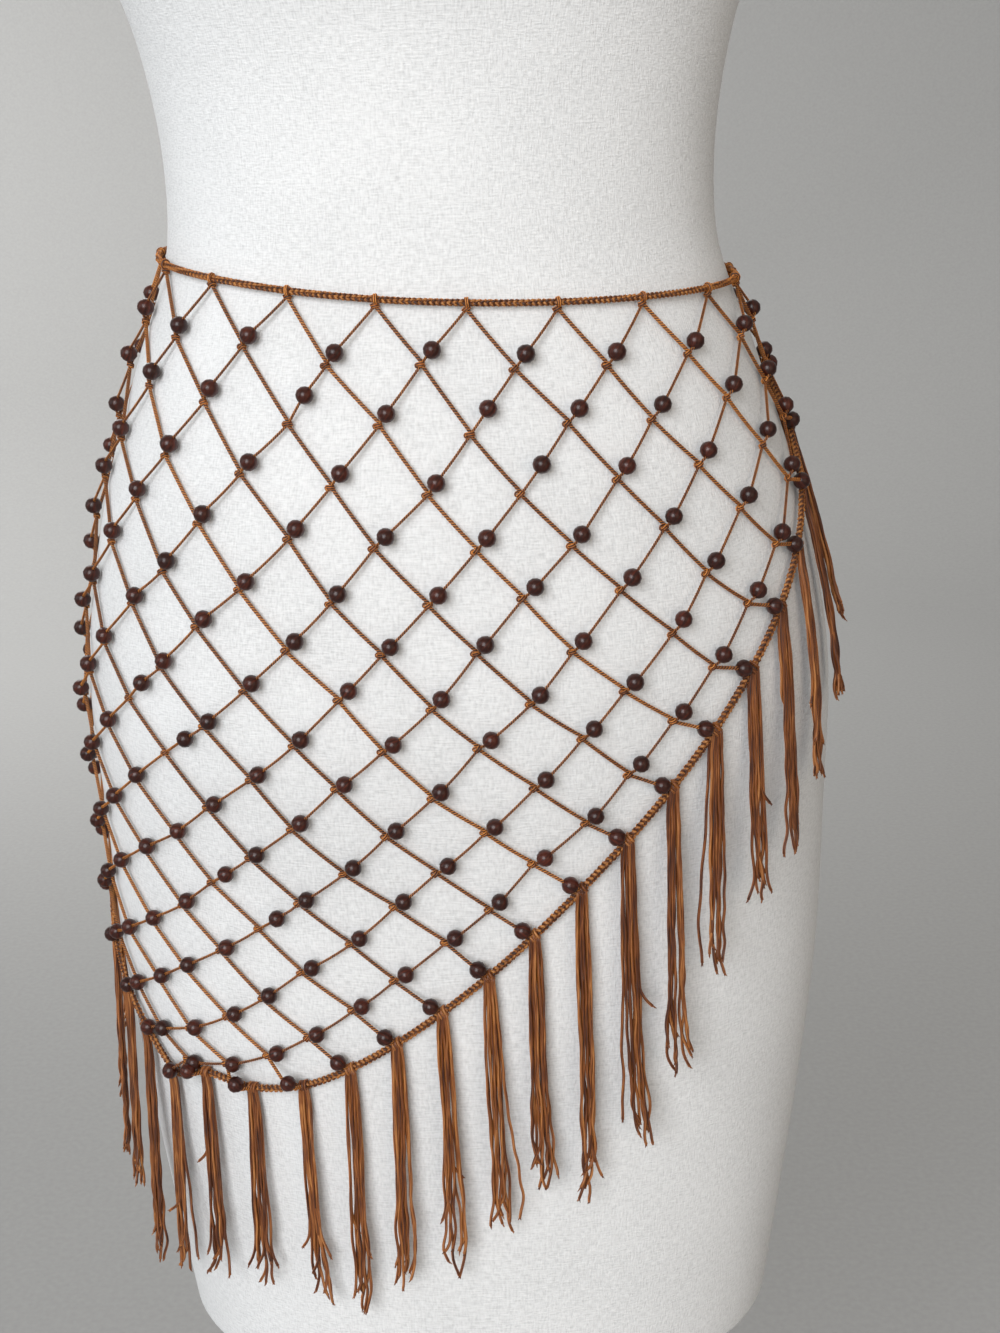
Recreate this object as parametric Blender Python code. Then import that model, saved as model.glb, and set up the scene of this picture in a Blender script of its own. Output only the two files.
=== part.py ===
# A knotted, beaded hip belt tied round a limbless dress form.
# Metres, +Z up. The form faces -Y and +X is at its own left hand side, seen on the right from the front.
# The net is a triangle of knotted cord: "falling" lines run down to the right from the waist cord,
# "rising" lines run down to the left, and a knot sits wherever two lines cross.
# Knot (falling, rising) lies rising - falling rows below the waist cord.
import math

import bpy
from mathutils import Vector

# Size of the net
CELLS = 19                      # diamonds along the waist cord
FRONT_COLUMN = 12.65            # column of the net that lies on the form's front centre line
FRONT_ARC = 0.0021              # where that column meets the waist cord, along the form's outline
CELL_WIDTH = 0.0368             # column spacing at the waist cord
CELL_GROWTH = 0.00837           # widening of the columns over the first ten rows
CELL_EASING = -0.00288          # and how the widening eases off
WAIST_HEIGHT = 1.001            # height of the waist cord at the front
ROW_DROP = 0.25917              # depth of ten rows
ROW_EASING = -0.03175           # rows close up towards the point of the triangle
BACK_LIFT = 0.0057              # the waist cord rides higher at the back
SIDE_LIFT = 0.0072              # and higher again over both hips
SIDE_TILT = -0.0060             # with the form's right hip above its left
WAIST_DIP = 0.0045              # the waist cord alone sits lower over the form's left hip
DIP_EASING = 1.2                # and that dies out this fast from row to row
TILT_GROWTH = 0.0084            # change of that tilt over ten rows
LIFT_GROWTH = 0.0254            # change of the lift over ten rows
COLUMNS_ROUND = 19.6            # columns that a full turn round the form would hold
SPLIT_COLUMN = 9.5              # the net is cut into a left and a right node at this column
TIP_COLUMN = 9.5                # the hem draws the lowest corner of the net up and to one side
TIP_LIFT = 0.0065
TIP_SHIFT = 0.19                # columns
TIP_SPREAD_AREA = 1.2           # how far that reaches, in rows and columns squared

# Cords, knots and beads
CORD_REACH = 0.00115            # knot centre to the corner of its cord ports
CORD_HALF_THICKNESS = 0.00075
KNOT_BUMP = 0.0009              # how far a knot stands out over its cords
KNOT_STANDOFF = 0.0027          # knot centre above the form
BEAD_RADIUS = 0.0040
BEAD_STANDOFF = 0.0048          # bead centre above the form
BEAD_REST = 0.0062              # a bead rests this far up its cord from the knot below it
BEAD_SIDE = 0.80                # half side of a bead's square section, in bead radii
BEAD_WAIST = 0.57               # where those sections sit along the hole, in bead radii
BEAD_TIP = 0.0007               # half side of the cord where it enters the hole
BEAD_WANDER = 0.0008            # unevenness of that rest from cord to cord
LIFTED_REST = 0.0088            # a bead this far up or more shows bare cord under it
LEFT_REACH = 0.62               # cords to the left hem are this part of a full one
RIGHT_REACH = 0.52              # and to the right hem they grow longer towards the fifth line
REACH_GROWTH = 0.42
LONGEST_LINE = 5.0
REACH_SPREAD = 6.5
TIP_REACH = 0.50                # but are cut short at the lowest corner
TIP_EASING = 0.9
TIP_SLIDE = 0.35                # where they also meet the hem further up along it
TIP_SLIDE_EASING = 1.5
HEM_SLIDE = 0.27                # lines past the seventh meet the hem this far up along it
SLIDE_START = 7.0
SLIDE_LINES = 5.0
HEM_BEAD_REST = 0.0052          # hem bead centre before the end of its segment
RIDERS_RIGHT = (0, 1, 2)        # falling and rising lines whose hem bead rides on the hem cord,
RIDERS_LEFT = (19,)
RIDER_LIFT = 0.0038             # and how far it and the end of its cord are lifted
WAIST_CORD_RADIUS = 0.0020
HEM_CORD_RADIUS = 0.0015
WAIST_CORD_GAP = 0.0014         # clear space between each cord and the form, which its flat
HEM_CORD_GAP = 0.0016           # facets and the form's need
WAIST_CORD_SIDES = 6
HEM_CORD_SIDES = 5
HEM_END_PART = 0.46             # each hem cord ends this far on towards the other one's last line
# First stretch of each hem cord, from the waist cord: columns past the last line, rows down
HEM_START_RIGHT = ((0.08, 0.28), (0.01, 0.95))
HEM_START_LEFT = ((-0.14, 0.30), (-0.06, 0.95))
SEAM = 0.0003                   # gap between neighbouring pieces

# Beads that have slipped up their cord: falling line, rising line, distance from the knot below
SLIPPED_BEADS = (
    (10, 12, 0.0139),
    (12, 14, 0.0124),
    (5, 13, 0.0159),
    (5, 14, 0.0175),
    (12, 15, 0.0145),
    (4, 16, 0.0118),
    (4, 17, 0.0129),
)

# Tassels
TASSEL_STRANDS = 6
STRAND_PITCH = 0.0013           # strand spacing where they leave the head
STRAND_DEPTH = 0.0020
HEAD_HEIGHT = 0.0065
HEAD_TOP = 0.0040               # width of the head under the hem cord
TIP_SPREAD = 0.0021             # strand spacing at the tips
TASSEL_CLEARANCE = 0.0036       # strands hang this far off the form
TASSEL_LEAN = 0.035             # outward drift for each metre of fall
TASSEL_SWING = 0.015            # sideways drift of the right-hand tassels for each metre of fall
TASSEL_LENGTH = 0.114           # middle length of the left-hand tassels
TASSEL_SPREAD = 0.010           # how much their lengths vary each way
STRAND_TRIM = 0.09              # strands are up to twice this part shorter than their tassel
STRAND_WAVE = 0.0006            # sideways waver of a strand
STRAND_FLARE = 0.0004           # extra spacing as soon as the strands leave the head
STRAND_STAGGER = 0.0011         # every second strand drifts this far forward
BULGE_STEP = 0.012              # a tassel pushed out further than this has one more bend
# Length of the right-hand tassels, from the tie down to the point of the triangle
RIGHT_LENGTHS = (0.086, 0.088, 0.090, 0.092, 0.100, 0.108, 0.102, 0.108, 0.132, 0.144,
                 0.150, 0.120, 0.128, 0.130, 0.120, 0.124, 0.108, 0.100, 0.106)

# Tie at the back
TIE_STRANDS = 2
TIE_PITCH = 0.0040
TIE_DEPTH = 0.0044
TIE_HEIGHT = 0.0120
TIE_TOP = 0.0080
TIE_LENGTH = 0.060
TIE_TIP_SPREAD = 0.0080
TIE_LEAN = 0.02
TIE_GAP = 0.0010                # clear space behind it
TIE_STEPS = 4

# Dress form: height, half width, half depth, shift towards the back
FORM_SECTIONS = (
    (0.475, 0.1560, 0.1130, 0.006),
    (0.530, 0.1640, 0.1170, 0.011),
    (0.585, 0.1715, 0.1204, 0.015),
    (0.665, 0.1795, 0.1252, 0.018),
    (0.745, 0.1815, 0.1264, 0.018),
    (0.825, 0.1800, 0.1277, 0.010),
    (0.905, 0.1635, 0.1168, 0.002),
    (0.965, 0.1436, 0.1054, 0.000),
    (1.025, 0.1236, 0.0928, 0.000),
    (1.105, 0.1297, 0.0935, 0.000),
    (1.195, 0.1610, 0.1150, -0.006),
    (1.265, 0.1640, 0.1070, -0.001),
    (1.325, 0.1440, 0.0850, 0.008),
    (1.362, 0.1040, 0.0690, 0.013),
    (1.385, 0.0700, 0.0580, 0.016),
    (1.410, 0.0560, 0.0540, 0.018),
    (1.450, 0.0530, 0.0520, 0.018),
)
FORM_LEVELS = (0.475, 0.530, 0.585, 0.665, 0.745, 0.825, 0.865, 0.905, 0.935, 0.965, 0.985,
               1.005, 1.025, 1.045, 1.065, 1.105, 1.150, 1.195, 1.265, 1.325, 1.345, 1.362,
               1.385, 1.410, 1.450)
FORM_SIDES = 28
FORM_EDGE = 0.006               # rounding of the form's lower edge
SQUARENESS = 2.3                # exponent of the form's rounded outline, 2 would be an ellipse
NECK_HEIGHT = 1.36              # the outline is a plain ellipse from here up
BUST_HEIGHT = 1.20

# Stand
BASE_RADIUS = 0.210
BASE_SIDES = 32
POLE_RADIUS = 0.0125
POLE_SIDES = 12
COLLAR_RADIUS = 0.030
CAP_SIDES = 16
BASE_TOP = 0.016


# ---------------------------------------------------------------- the form's outline

def formSection(height):
    """Half width, half depth and shift of the form at a height, through the section table."""
    rows = FORM_SECTIONS
    last = len(rows) - 1
    index = 0
    while index < last - 1 and height > rows[index + 1][0]:
        index += 1

    def slope(row, column):
        low = max(row - 1, 0)
        high = min(row + 1, last)
        return (rows[high][column] - rows[low][column]) / (rows[high][0] - rows[low][0])

    step = rows[index + 1][0] - rows[index][0]
    t = (height - rows[index][0]) / step
    values = []
    for column in (1, 2, 3):
        start = rows[index][column]
        end = rows[index + 1][column]
        value = (2 * t**3 - 3 * t**2 + 1) * start + (3 * t**2 - 2 * t**3) * end
        value += (t**3 - 2 * t**2 + t) * step * slope(index, column)
        value += (t**3 - t**2) * step * slope(index + 1, column)
        values.append(value)
    return values


def squareness(height):
    part = min(max((height - BUST_HEIGHT) / (NECK_HEIGHT - BUST_HEIGHT), 0.0), 1.0)
    return SQUARENESS + (2.0 - SQUARENESS) * part


def outlinePoint(angle, height):
    """Point of the form's outline, angle 0 at the front centre and positive towards +X."""
    halfWidth, halfDepth, shift = formSection(height)
    power = 2.0 / squareness(height)
    across = math.copysign(abs(math.sin(angle)) ** power, math.sin(angle))
    forward = math.copysign(abs(math.cos(angle)) ** power, math.cos(angle))
    return Vector((halfWidth * across, shift - halfDepth * forward, height))


def halfOutline(height, steps=120):
    """Angles and arc lengths along one half of the outline, from the front to the back."""
    arcs = [0.0]
    angles = [0.0]
    before = outlinePoint(0.0, height)
    for step in range(1, steps + 1):
        angle = math.pi * step / steps
        point = outlinePoint(angle, height)
        arcs.append(arcs[-1] + (point - before).length)
        angles.append(angle)
        before = point
    return angles, arcs


outlineCache = {}


def outlineTable(height):
    """The half outline at a height, worked out once and kept."""
    key = round(height, 6)
    if key not in outlineCache:
        outlineCache[key] = halfOutline(height)
    return outlineCache[key]


def wrapArc(arc, height):
    """Bring an arc length back into the range of half a turn each way."""
    half = outlineTable(height)[1][-1]
    return (arc + half) % (2 * half) - half


def formPoint(arc, height):
    """Point on the form, a distance along its outline from the front centre line."""
    angles, arcs = outlineTable(height)
    arc = wrapArc(arc, height)
    reach = min(abs(arc), arcs[-1])
    low = 0
    high = len(arcs) - 1
    while high - low > 1:
        middle = (low + high) // 2
        if arcs[middle] <= reach:
            low = middle
        else:
            high = middle
    part = (reach - arcs[low]) / (arcs[high] - arcs[low])
    angle = angles[low] + part * (angles[high] - angles[low])
    return outlinePoint(math.copysign(angle, arc), height)


def formFrame(arc, height, standoff):
    """A point off the form's surface with its right, up and outward directions."""
    nudge = 0.002
    right = (formPoint(arc + nudge, height) - formPoint(arc - nudge, height)).normalized()
    up = (formPoint(arc, height + nudge) - formPoint(arc, height - nudge)).normalized()
    outward = right.cross(up).normalized()
    up = outward.cross(right).normalized()
    return formPoint(arc, height) + outward * standoff, right, up, outward


# ---------------------------------------------------------------- the net's layout

def netPlace(column, row):
    """Arc length and height of a place in the net."""
    fromTip = (row - CELLS) ** 2 + (column - TIP_COLUMN) ** 2
    gather = math.exp(-fromTip / TIP_SPREAD_AREA)
    across = column - FRONT_COLUMN - TIP_SHIFT * gather
    tens = row / 10
    turn = 2 * math.pi * across / COLUMNS_ROUND
    pitch = CELL_WIDTH + CELL_GROWTH * tens + CELL_EASING * tens**2
    lift = (BACK_LIFT + LIFT_GROWTH * tens) * (1 - math.cos(turn)) / 2
    lift += SIDE_LIFT * (1 - math.cos(2 * turn)) / 2
    tilt = (SIDE_TILT + TILT_GROWTH * tens) * math.sin(turn)
    dip = WAIST_DIP * max(math.sin(turn), 0.0) ** 2 * math.exp(-DIP_EASING * row)
    height = WAIST_HEIGHT - ROW_DROP * tens - ROW_EASING * tens**2
    height += lift + tilt + TIP_LIFT * gather - dip
    return FRONT_ARC + across * pitch, height


def netFrame(column, row, standoff):
    arc, height = netPlace(column, row)
    return formFrame(arc, height, standoff)


# ---------------------------------------------------------------- plain mesh building

class Shape:
    """Vertices and faces of one closed solid."""

    def __init__(self):
        self.points = []
        self.faces = []

    def ring(self, points):
        first = len(self.points)
        self.points.extend(points)
        return list(range(first, len(self.points)))

    def band(self, start, end):
        """Side faces between two rings, each ordered clockwise as seen along the travel."""
        count = len(start)
        for index in range(count):
            after = (index + 1) % count
            self.faces.append((start[index], start[after], end[after], end[index]))

    def endCap(self, ring):
        self.faces.append(tuple(ring))

    def startCap(self, ring):
        self.faces.append(tuple(reversed(ring)))

    def build(self, name, material, smooth=False):
        mesh = bpy.data.meshes.new(name)
        mesh.from_pydata([tuple(point) for point in self.points], [], self.faces)
        mesh.materials.append(material)
        if smooth:
            mesh.shade_smooth()
            mesh.set_sharp_from_angle(angle=math.radians(40))
        mesh.update()
        item = bpy.data.objects.new(name, mesh)
        bpy.context.scene.collection.objects.link(item)
        return item


def makeMaterial(name, color, roughness, metallic=0.0):
    material = bpy.data.materials.new(name)
    material.use_nodes = True
    shader = material.node_tree.nodes["Principled BSDF"]
    shader.inputs["Base Color"].default_value = (*color, 1.0)
    shader.inputs["Roughness"].default_value = roughness
    shader.inputs["Metallic"].default_value = metallic
    return material


def squareRing(centre, travel, outward, half):
    """Four corners round a cord: left outer, right outer, right inner, left inner."""
    right = travel.cross(outward).normalized()
    lift = right.cross(travel).normalized()
    return [
        centre - right * half + lift * half,
        centre + right * half + lift * half,
        centre + right * half - lift * half,
        centre - right * half - lift * half,
    ]


# ---------------------------------------------------------------- knots

PORTS = {
    # port name: corner on the left and on the right of a cord leaving through it
    "upRight": ("up", "right"),
    "downRight": ("right", "down"),
    "downLeft": ("down", "left"),
    "upLeft": ("left", "up"),
}


class Knot:
    """A small block whose four sides take the four cords that meet in it."""

    def __init__(self, shape, centre, right, up, outward):
        self.shape = shape
        self.centre = centre
        self.outward = outward
        self.open = set(PORTS)
        corners = {"up": up, "right": right, "down": -up, "left": -right}
        self.outer = {}
        self.inner = {}
        for name, way in corners.items():
            corner = centre + way * CORD_REACH
            self.outer[name] = shape.ring([corner + outward * CORD_HALF_THICKNESS])[0]
            self.inner[name] = shape.ring([corner - outward * CORD_HALF_THICKNESS])[0]
        top = shape.ring([centre + outward * (CORD_HALF_THICKNESS + KNOT_BUMP)])[0]
        around = ("up", "left", "down", "right")
        for index, name in enumerate(around):
            after = around[(index + 1) % 4]
            shape.faces.append((self.outer[name], self.outer[after], top))
        shape.faces.append(tuple(self.inner[name] for name in reversed(around)))

    def leaving(self, port):
        left, right = PORTS[port]
        self.open.discard(port)
        return [self.outer[left], self.outer[right], self.inner[right], self.inner[left]]

    def arriving(self, port):
        right, left = PORTS[port]
        self.open.discard(port)
        return [self.outer[left], self.outer[right], self.inner[right], self.inner[left]]

    def arrivingPoints(self, port):
        """Where a cord from outside this node would meet the port."""
        right, left = PORTS[port]
        ids = [self.outer[left], self.outer[right], self.inner[right], self.inner[left]]
        return [self.shape.points[index] for index in ids]

    def close(self):
        for port in sorted(self.open):
            left, right = PORTS[port]
            self.shape.endCap([self.outer[left], self.outer[right], self.inner[right], self.inner[left]])


# ---------------------------------------------------------------- the net

def slippedBeads():
    return {(falling, rising): distance for falling, rising, distance in SLIPPED_BEADS}


def beadRest(falling, rising):
    """How far up its cord a bead sits, with a little unevenness from cord to cord."""
    slipped = slippedBeads()
    if (falling, rising) in slipped:
        return slipped[(falling, rising)]
    return BEAD_REST + BEAD_WANDER * math.sin(2.4 * falling + 5.1 * rising)


def beadRings(shape, centre, travel, outward, lowerTip):
    """Rings of a bead threaded on a cord, from its lower end to its upper one."""
    rings = []
    if lowerTip:
        tip = squareRing(centre - travel * BEAD_RADIUS, travel, outward, BEAD_TIP)
        rings.append(shape.ring(tip))
    for side in (-1, 1):
        middle = centre + travel * (side * BEAD_WAIST * BEAD_RADIUS)
        rings.append(shape.ring(squareRing(middle, travel, outward, BEAD_SIDE * BEAD_RADIUS)))
    return rings


def joinRings(shape, rings):
    for start, end in zip(rings, rings[1:]):
        shape.band(start, end)


def beadedCord(shape, lower, upper, falling, rising, end):
    """Cord from a knot up to the right, with its bead."""
    travel = (upper.centre - lower.centre).normalized()
    length = (upper.centre - lower.centre).length
    rest = beadRest(falling, rising)
    part = rest / length
    column = (falling + rising) / 2 + 0.5 * part
    centre, _, _, outward = netFrame(column, rising - falling - part, BEAD_STANDOFF)
    along = (centre - lower.centre).dot(travel)
    centre += travel * (rest - along)
    rings = [lower.leaving("upRight")]
    rings += beadRings(shape, centre, travel, outward, rest > LIFTED_REST)
    tip = squareRing(centre + travel * BEAD_RADIUS, travel, outward, BEAD_TIP)
    rings.append(shape.ring(tip))
    rings.append(end)
    joinRings(shape, rings)


def hemSegment(shape, knot, port, column, row, raised=0.0):
    """Short cord from a last knot to the hem cord, with a bead near its end."""
    finish, _, _, outward = netFrame(column, row, KNOT_STANDOFF)
    travel = (finish - knot.centre).normalized()
    finish += outward * raised - travel * (HEM_CORD_RADIUS + 3 * SEAM)
    beadCentre = finish - travel * HEM_BEAD_REST
    beadCentre += outward * (BEAD_STANDOFF - KNOT_STANDOFF)
    rings = [knot.leaving(port)]
    rings += beadRings(shape, beadCentre, travel, outward, True)
    rings.append(shape.ring(squareRing(finish, travel, outward, BEAD_TIP)))
    joinRings(shape, rings)
    shape.endCap(rings[-1])


def waistKnotFrame(line):
    """The top of the net stops just under the waist cord."""
    centre, right, up, outward = netFrame(line, 0, KNOT_STANDOFF)
    drop = WAIST_CORD_RADIUS + SEAM + CORD_REACH
    return centre - up * drop, right, up, outward


def shortOf(points, travel):
    """A ring moved back along its cord, so that it stops clear of the next node."""
    return [point - travel * (SEAM * 1.5) for point in points]


def makeNet(material):
    shapes = {"net_left": Shape(), "net_right": Shape()}

    def nodeOf(falling, rising):
        return "net_left" if (falling + rising) / 2 <= SPLIT_COLUMN else "net_right"

    knots = {}
    for falling in range(CELLS + 1):
        for rising in range(falling, CELLS + 1):
            shape = shapes[nodeOf(falling, rising)]
            if falling == rising:
                frame = waistKnotFrame(falling)
            else:
                frame = netFrame((falling + rising) / 2, rising - falling, KNOT_STANDOFF)
            knots[(falling, rising)] = Knot(shape, *frame)

    for (falling, rising), knot in knots.items():
        shape = knot.shape
        if falling < rising:
            upper = knots[(falling + 1, rising)]
            if upper.shape is shape:
                end = upper.arriving("downLeft")
            else:
                travel = (upper.centre - knot.centre).normalized()
                end = shape.ring(shortOf(upper.arrivingPoints("downLeft"), travel))
                shape.endCap(end)
            beadedCord(shape, knot, upper, falling, rising, end)
        if rising < CELLS:
            lower = knots[(falling, rising + 1)]
            if lower.shape is shape:
                end = lower.arriving("upLeft")
            else:
                travel = (lower.centre - knot.centre).normalized()
                end = shape.ring(shortOf(lower.arrivingPoints("upLeft"), travel))
                shape.endCap(end)
            shape.band(knot.leaving("downRight"), end)

    for line in range(CELLS):
        column, row = rightHemPlace(line)
        knot = knots[(line, CELLS)]
        raised = RIDER_LIFT if line in RIDERS_RIGHT else 0.0
        hemSegment(knot.shape, knot, "downRight", column, row, raised)
        number = CELLS - line
        column, row = leftHemPlace(number)
        knot = knots[(0, number)]
        raised = RIDER_LIFT if number in RIDERS_LEFT else 0.0
        hemSegment(knot.shape, knot, "downLeft", column, row, raised)

    for knot in knots.values():
        knot.close()
    for name, shape in shapes.items():
        shape.build(name, material)


def rightHemPlace(falling):
    """Column and row where a falling line meets the hem."""
    reach = RIGHT_REACH - TIP_REACH * math.exp(-TIP_EASING * falling)
    reach += REACH_GROWTH * math.exp(-((falling - LONGEST_LINE) / REACH_SPREAD) ** 2)
    slide = HEM_SLIDE * min(max((falling - SLIDE_START) / SLIDE_LINES, 0.0), 1.0)
    slide += TIP_SLIDE * math.exp(-TIP_SLIDE_EASING * falling)
    line = falling + slide
    return (line + CELLS + reach) / 2, CELLS - line + reach


def leftHemPlace(rising):
    return (rising - LEFT_REACH) / 2, rising + LEFT_REACH


# ---------------------------------------------------------------- waist and hem cords

def roundCord(name, frames, radius, sides, material):
    """A tube through the given points, each with its outward direction."""
    shape = Shape()
    rings = []
    last = len(frames) - 1
    for index, (centre, outward) in enumerate(frames):
        before = frames[max(index - 1, 0)][0]
        after = frames[min(index + 1, last)][0]
        travel = (after - before).normalized()
        right = travel.cross(outward).normalized()
        lift = right.cross(travel).normalized()
        points = []
        for side in range(sides):
            angle = -2 * math.pi * side / sides
            points.append(centre + (right * math.sin(-angle) + lift * math.cos(angle)) * radius)
        rings.append(shape.ring(points))
    shape.startCap(rings[0])
    joinRings(shape, rings)
    shape.endCap(rings[-1])
    return shape.build(name, material, smooth=True)


def waistCordPlace(column):
    """Arc and height of the waist cord, also across the gap where it is tied."""
    if column <= CELLS:
        return netPlace(column, 0)
    startArc, startHeight = netPlace(CELLS, 0)
    endArc, endHeight = netPlace(0, 0)
    turn = 2 * outlineTable(endHeight)[1][-1]
    part = column - CELLS
    arc = startArc + (endArc + turn - startArc) * part
    return arc, startHeight + (endHeight - startHeight) * part


def makeWaistCord(material):
    standoff = WAIST_CORD_RADIUS + WAIST_CORD_GAP
    tieHalf = TIE_TOP / 2 + SEAM
    gap = waistCordPlace(CELLS + 1)[0] - waistCordPlace(CELLS)[0]
    tieColumn = CELLS + 0.5
    before = tieColumn - tieHalf / gap
    after = 0.5 + tieHalf / gap - 1
    columns = [after, -0.15] + [step / 2 for step in range(2 * CELLS + 1)] + [CELLS + 0.15, before]
    frames = []
    for column in columns:
        if column < 0:
            arc, height = waistCordPlace(CELLS + 1 + column)
        else:
            arc, height = waistCordPlace(column)
        centre, _, _, outward = formFrame(arc, height, standoff)
        frames.append((centre, outward))
    roundCord("waist_cord", frames, WAIST_CORD_RADIUS, WAIST_CORD_SIDES, material)


def hemCordFrames(places, other):
    """Frames of one hem cord, which ends part of the way to the other one's last place."""
    spots = [netPlace(column, row) for column, row in places]
    arc, height = spots[-1]
    otherArc, otherHeight = netPlace(*other)
    spots.append((arc + (otherArc - arc) * HEM_END_PART, height + (otherHeight - height) * HEM_END_PART))
    frames = []
    for arc, height in spots:
        centre, _, _, outward = formFrame(arc, height, HEM_CORD_RADIUS + HEM_CORD_GAP)
        frames.append((centre, outward))
    return frames


def makeHemCords(material):
    """One cord down each sloping side, from the waist cord to the point of the triangle."""
    right = [(CELLS + across, row) for across, row in HEM_START_RIGHT]
    right += [rightHemPlace(line) for line in range(CELLS - 1, -1, -1)]
    left = list(HEM_START_LEFT)
    left += [leftHemPlace(line) for line in range(1, CELLS + 1)]
    for name, places, other in (("hem_cord_right", right, left[-1]), ("hem_cord_left", left, right[-1])):
        roundCord(name, hemCordFrames(places, other), HEM_CORD_RADIUS, HEM_CORD_SIDES, material)


# ---------------------------------------------------------------- tassels and tie

def pushOff(point, outward, clearance):
    """How far a point must move outwards to hang clear of the form at its own height."""
    halfWidth, halfDepth, shift = formSection(point.z)
    power = squareness(point.z)

    def inside(distance):
        moved = point + outward * distance
        across = abs(moved.x) / (halfWidth + clearance)
        along = abs(moved.y - shift) / (halfDepth + clearance)
        return across**power + along**power < 1

    if not inside(0.0):
        return 0.0
    low = 0.0
    high = 0.08
    for _ in range(24):
        middle = (low + high) / 2
        if inside(middle):
            low = middle
        else:
            high = middle
    return high


def hangingPath(root, outward, length, clearance, lean, steps):
    """Centre line of a bundle that hangs from its root, lying on the form where that bulges."""
    fine = 12
    push = 0.0
    offsets = [0.0]
    for step in range(1, fine * steps + 1):
        drop = length * step / (fine * steps)
        point = root - Vector((0, 0, drop))
        push = max(push, pushOff(point, outward, clearance))
        offsets.append(push + lean * drop)
    path = []
    for step in range(steps + 1):
        drop = length * step / steps
        path.append(root + outward * offsets[step * fine] - Vector((0, 0, drop)))
    return path


def bundle(name, root, right, outward, size, material):
    """A knotted head whose strands hang apart below it, in one closed solid."""
    shape = Shape()
    count = size["strands"]
    pitch = size["pitch"]
    depth = size["depth"]
    up = Vector((0, 0, 1))
    outerRow = []
    for index in range(count + 1):
        outerRow.append(root + right * ((index - count / 2) * pitch) + outward * (depth / 2))
    innerRow = []
    for index in range(count):
        innerRow.append(root + right * ((index + 0.5 - count / 2) * pitch) - outward * (depth / 2))
    outer = shape.ring(outerRow)
    inner = shape.ring(innerRow)
    top = root + up * size["headHeight"]
    half = size["headTop"] / 2
    tilt = up * size["slope"]
    corners = []
    for across, along in ((-1, 1), (1, 1), (1, -1), (-1, -1)):
        corners.append(top + (right + tilt) * (across * half) + outward * (along * depth / 2))
    topLeftOuter, topRightOuter, topRightInner, topLeftInner = shape.ring(corners)

    middle = count // 2
    for index in range(count):
        peak = topLeftOuter if index < middle else topRightOuter
        shape.faces.append((outer[index], outer[index + 1], peak))
    shape.faces.append((topLeftOuter, outer[middle], topRightOuter))
    for index in range(count - 1):
        peak = topLeftInner if index < middle else topRightInner
        shape.faces.append((inner[index + 1], inner[index], peak))
    shape.faces.append((topRightInner, inner[middle], topLeftInner))
    shape.faces.append((inner[0], outer[0], topLeftOuter, topLeftInner))
    shape.faces.append((outer[count], inner[count - 1], topRightInner, topRightOuter))
    shape.faces.append((topLeftOuter, topRightOuter, topRightInner, topLeftInner))
    for index in range(count - 1):
        shape.faces.append((inner[index], inner[index + 1], outer[index + 1]))

    for index in range(count):
        side = index + 0.5 - count / 2
        phase = size["phase"] + 2.1 * index
        length = size["length"] * (1 - STRAND_TRIM * (1 + math.sin(phase)))
        path = hangingPath(root, outward, length, size["clearance"], size["lean"], size["steps"])
        ring = [outer[index], outer[index + 1], inner[index]]
        for step in range(1, len(path)):
            part = step / (len(path) - 1)
            spacing = pitch + (size["tipSpread"] - pitch) * part**0.5 + STRAND_FLARE
            wander = STRAND_WAVE * math.sin(1.7 * phase + 3 * part) + size["swing"] * length
            depthShift = STRAND_STAGGER * part * (1 if index % 2 else -0.2)
            centre = path[step] + right * (side * spacing + wander * part) + outward * depthShift
            lower = shape.ring([
                centre - right * (pitch / 2) + outward * (depth * 0.3),
                centre + right * (pitch / 2) + outward * (depth * 0.3),
                centre - outward * (depth / 2),
            ])
            for corner in range(3):
                after = (corner + 1) % 3
                shape.faces.append((lower[corner], lower[after], ring[after], ring[corner]))
            ring = lower
        shape.faces.append((ring[1], ring[0], ring[2]))
    return shape.build(name, material)


def horizontal(direction):
    return Vector((direction.x, direction.y, 0)).normalized()


def hemSlope(hemPlace, line, right):
    """Rise of the hem for each metre to the right, at one of its tassels."""
    place = hemPlace(line - 0.5) if line > 0 else leftHemPlace(CELLS)
    before = netFrame(*place, 0.0)[0]
    after = netFrame(*hemPlace(line + 0.5), 0.0)[0]
    along = after - before
    return along.z / along.dot(right)


def makeTassel(name, hemPlace, line, length, swing, material):
    centre, _, _, outward = netFrame(*hemPlace(line), HEM_CORD_RADIUS + HEM_CORD_GAP)
    outward = horizontal(outward)
    right = Vector((0, 0, 1)).cross(outward)
    slope = hemSlope(hemPlace, line, right)
    drop = (HEM_CORD_RADIUS + 2 * SEAM) * math.sqrt(1 + slope**2) + HEAD_HEIGHT
    root = centre - Vector((0, 0, drop))
    root += outward * pushOff(root, outward, TASSEL_CLEARANCE)
    bulge = hangingPath(root, outward, length, TASSEL_CLEARANCE, 0.0, 1)[-1] - root
    steps = 3 if outward.dot(bulge) > BULGE_STEP else 2
    size = {
        "strands": TASSEL_STRANDS,
        "pitch": STRAND_PITCH,
        "depth": STRAND_DEPTH,
        "headHeight": HEAD_HEIGHT,
        "headTop": HEAD_TOP,
        "tipSpread": TIP_SPREAD,
        "clearance": TASSEL_CLEARANCE,
        "lean": TASSEL_LEAN,
        "length": length,
        "phase": 1.9 * line,
        "steps": steps,
        "slope": slope,
        "swing": swing,
    }
    bundle(name, root, right, outward, size, material)


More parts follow.
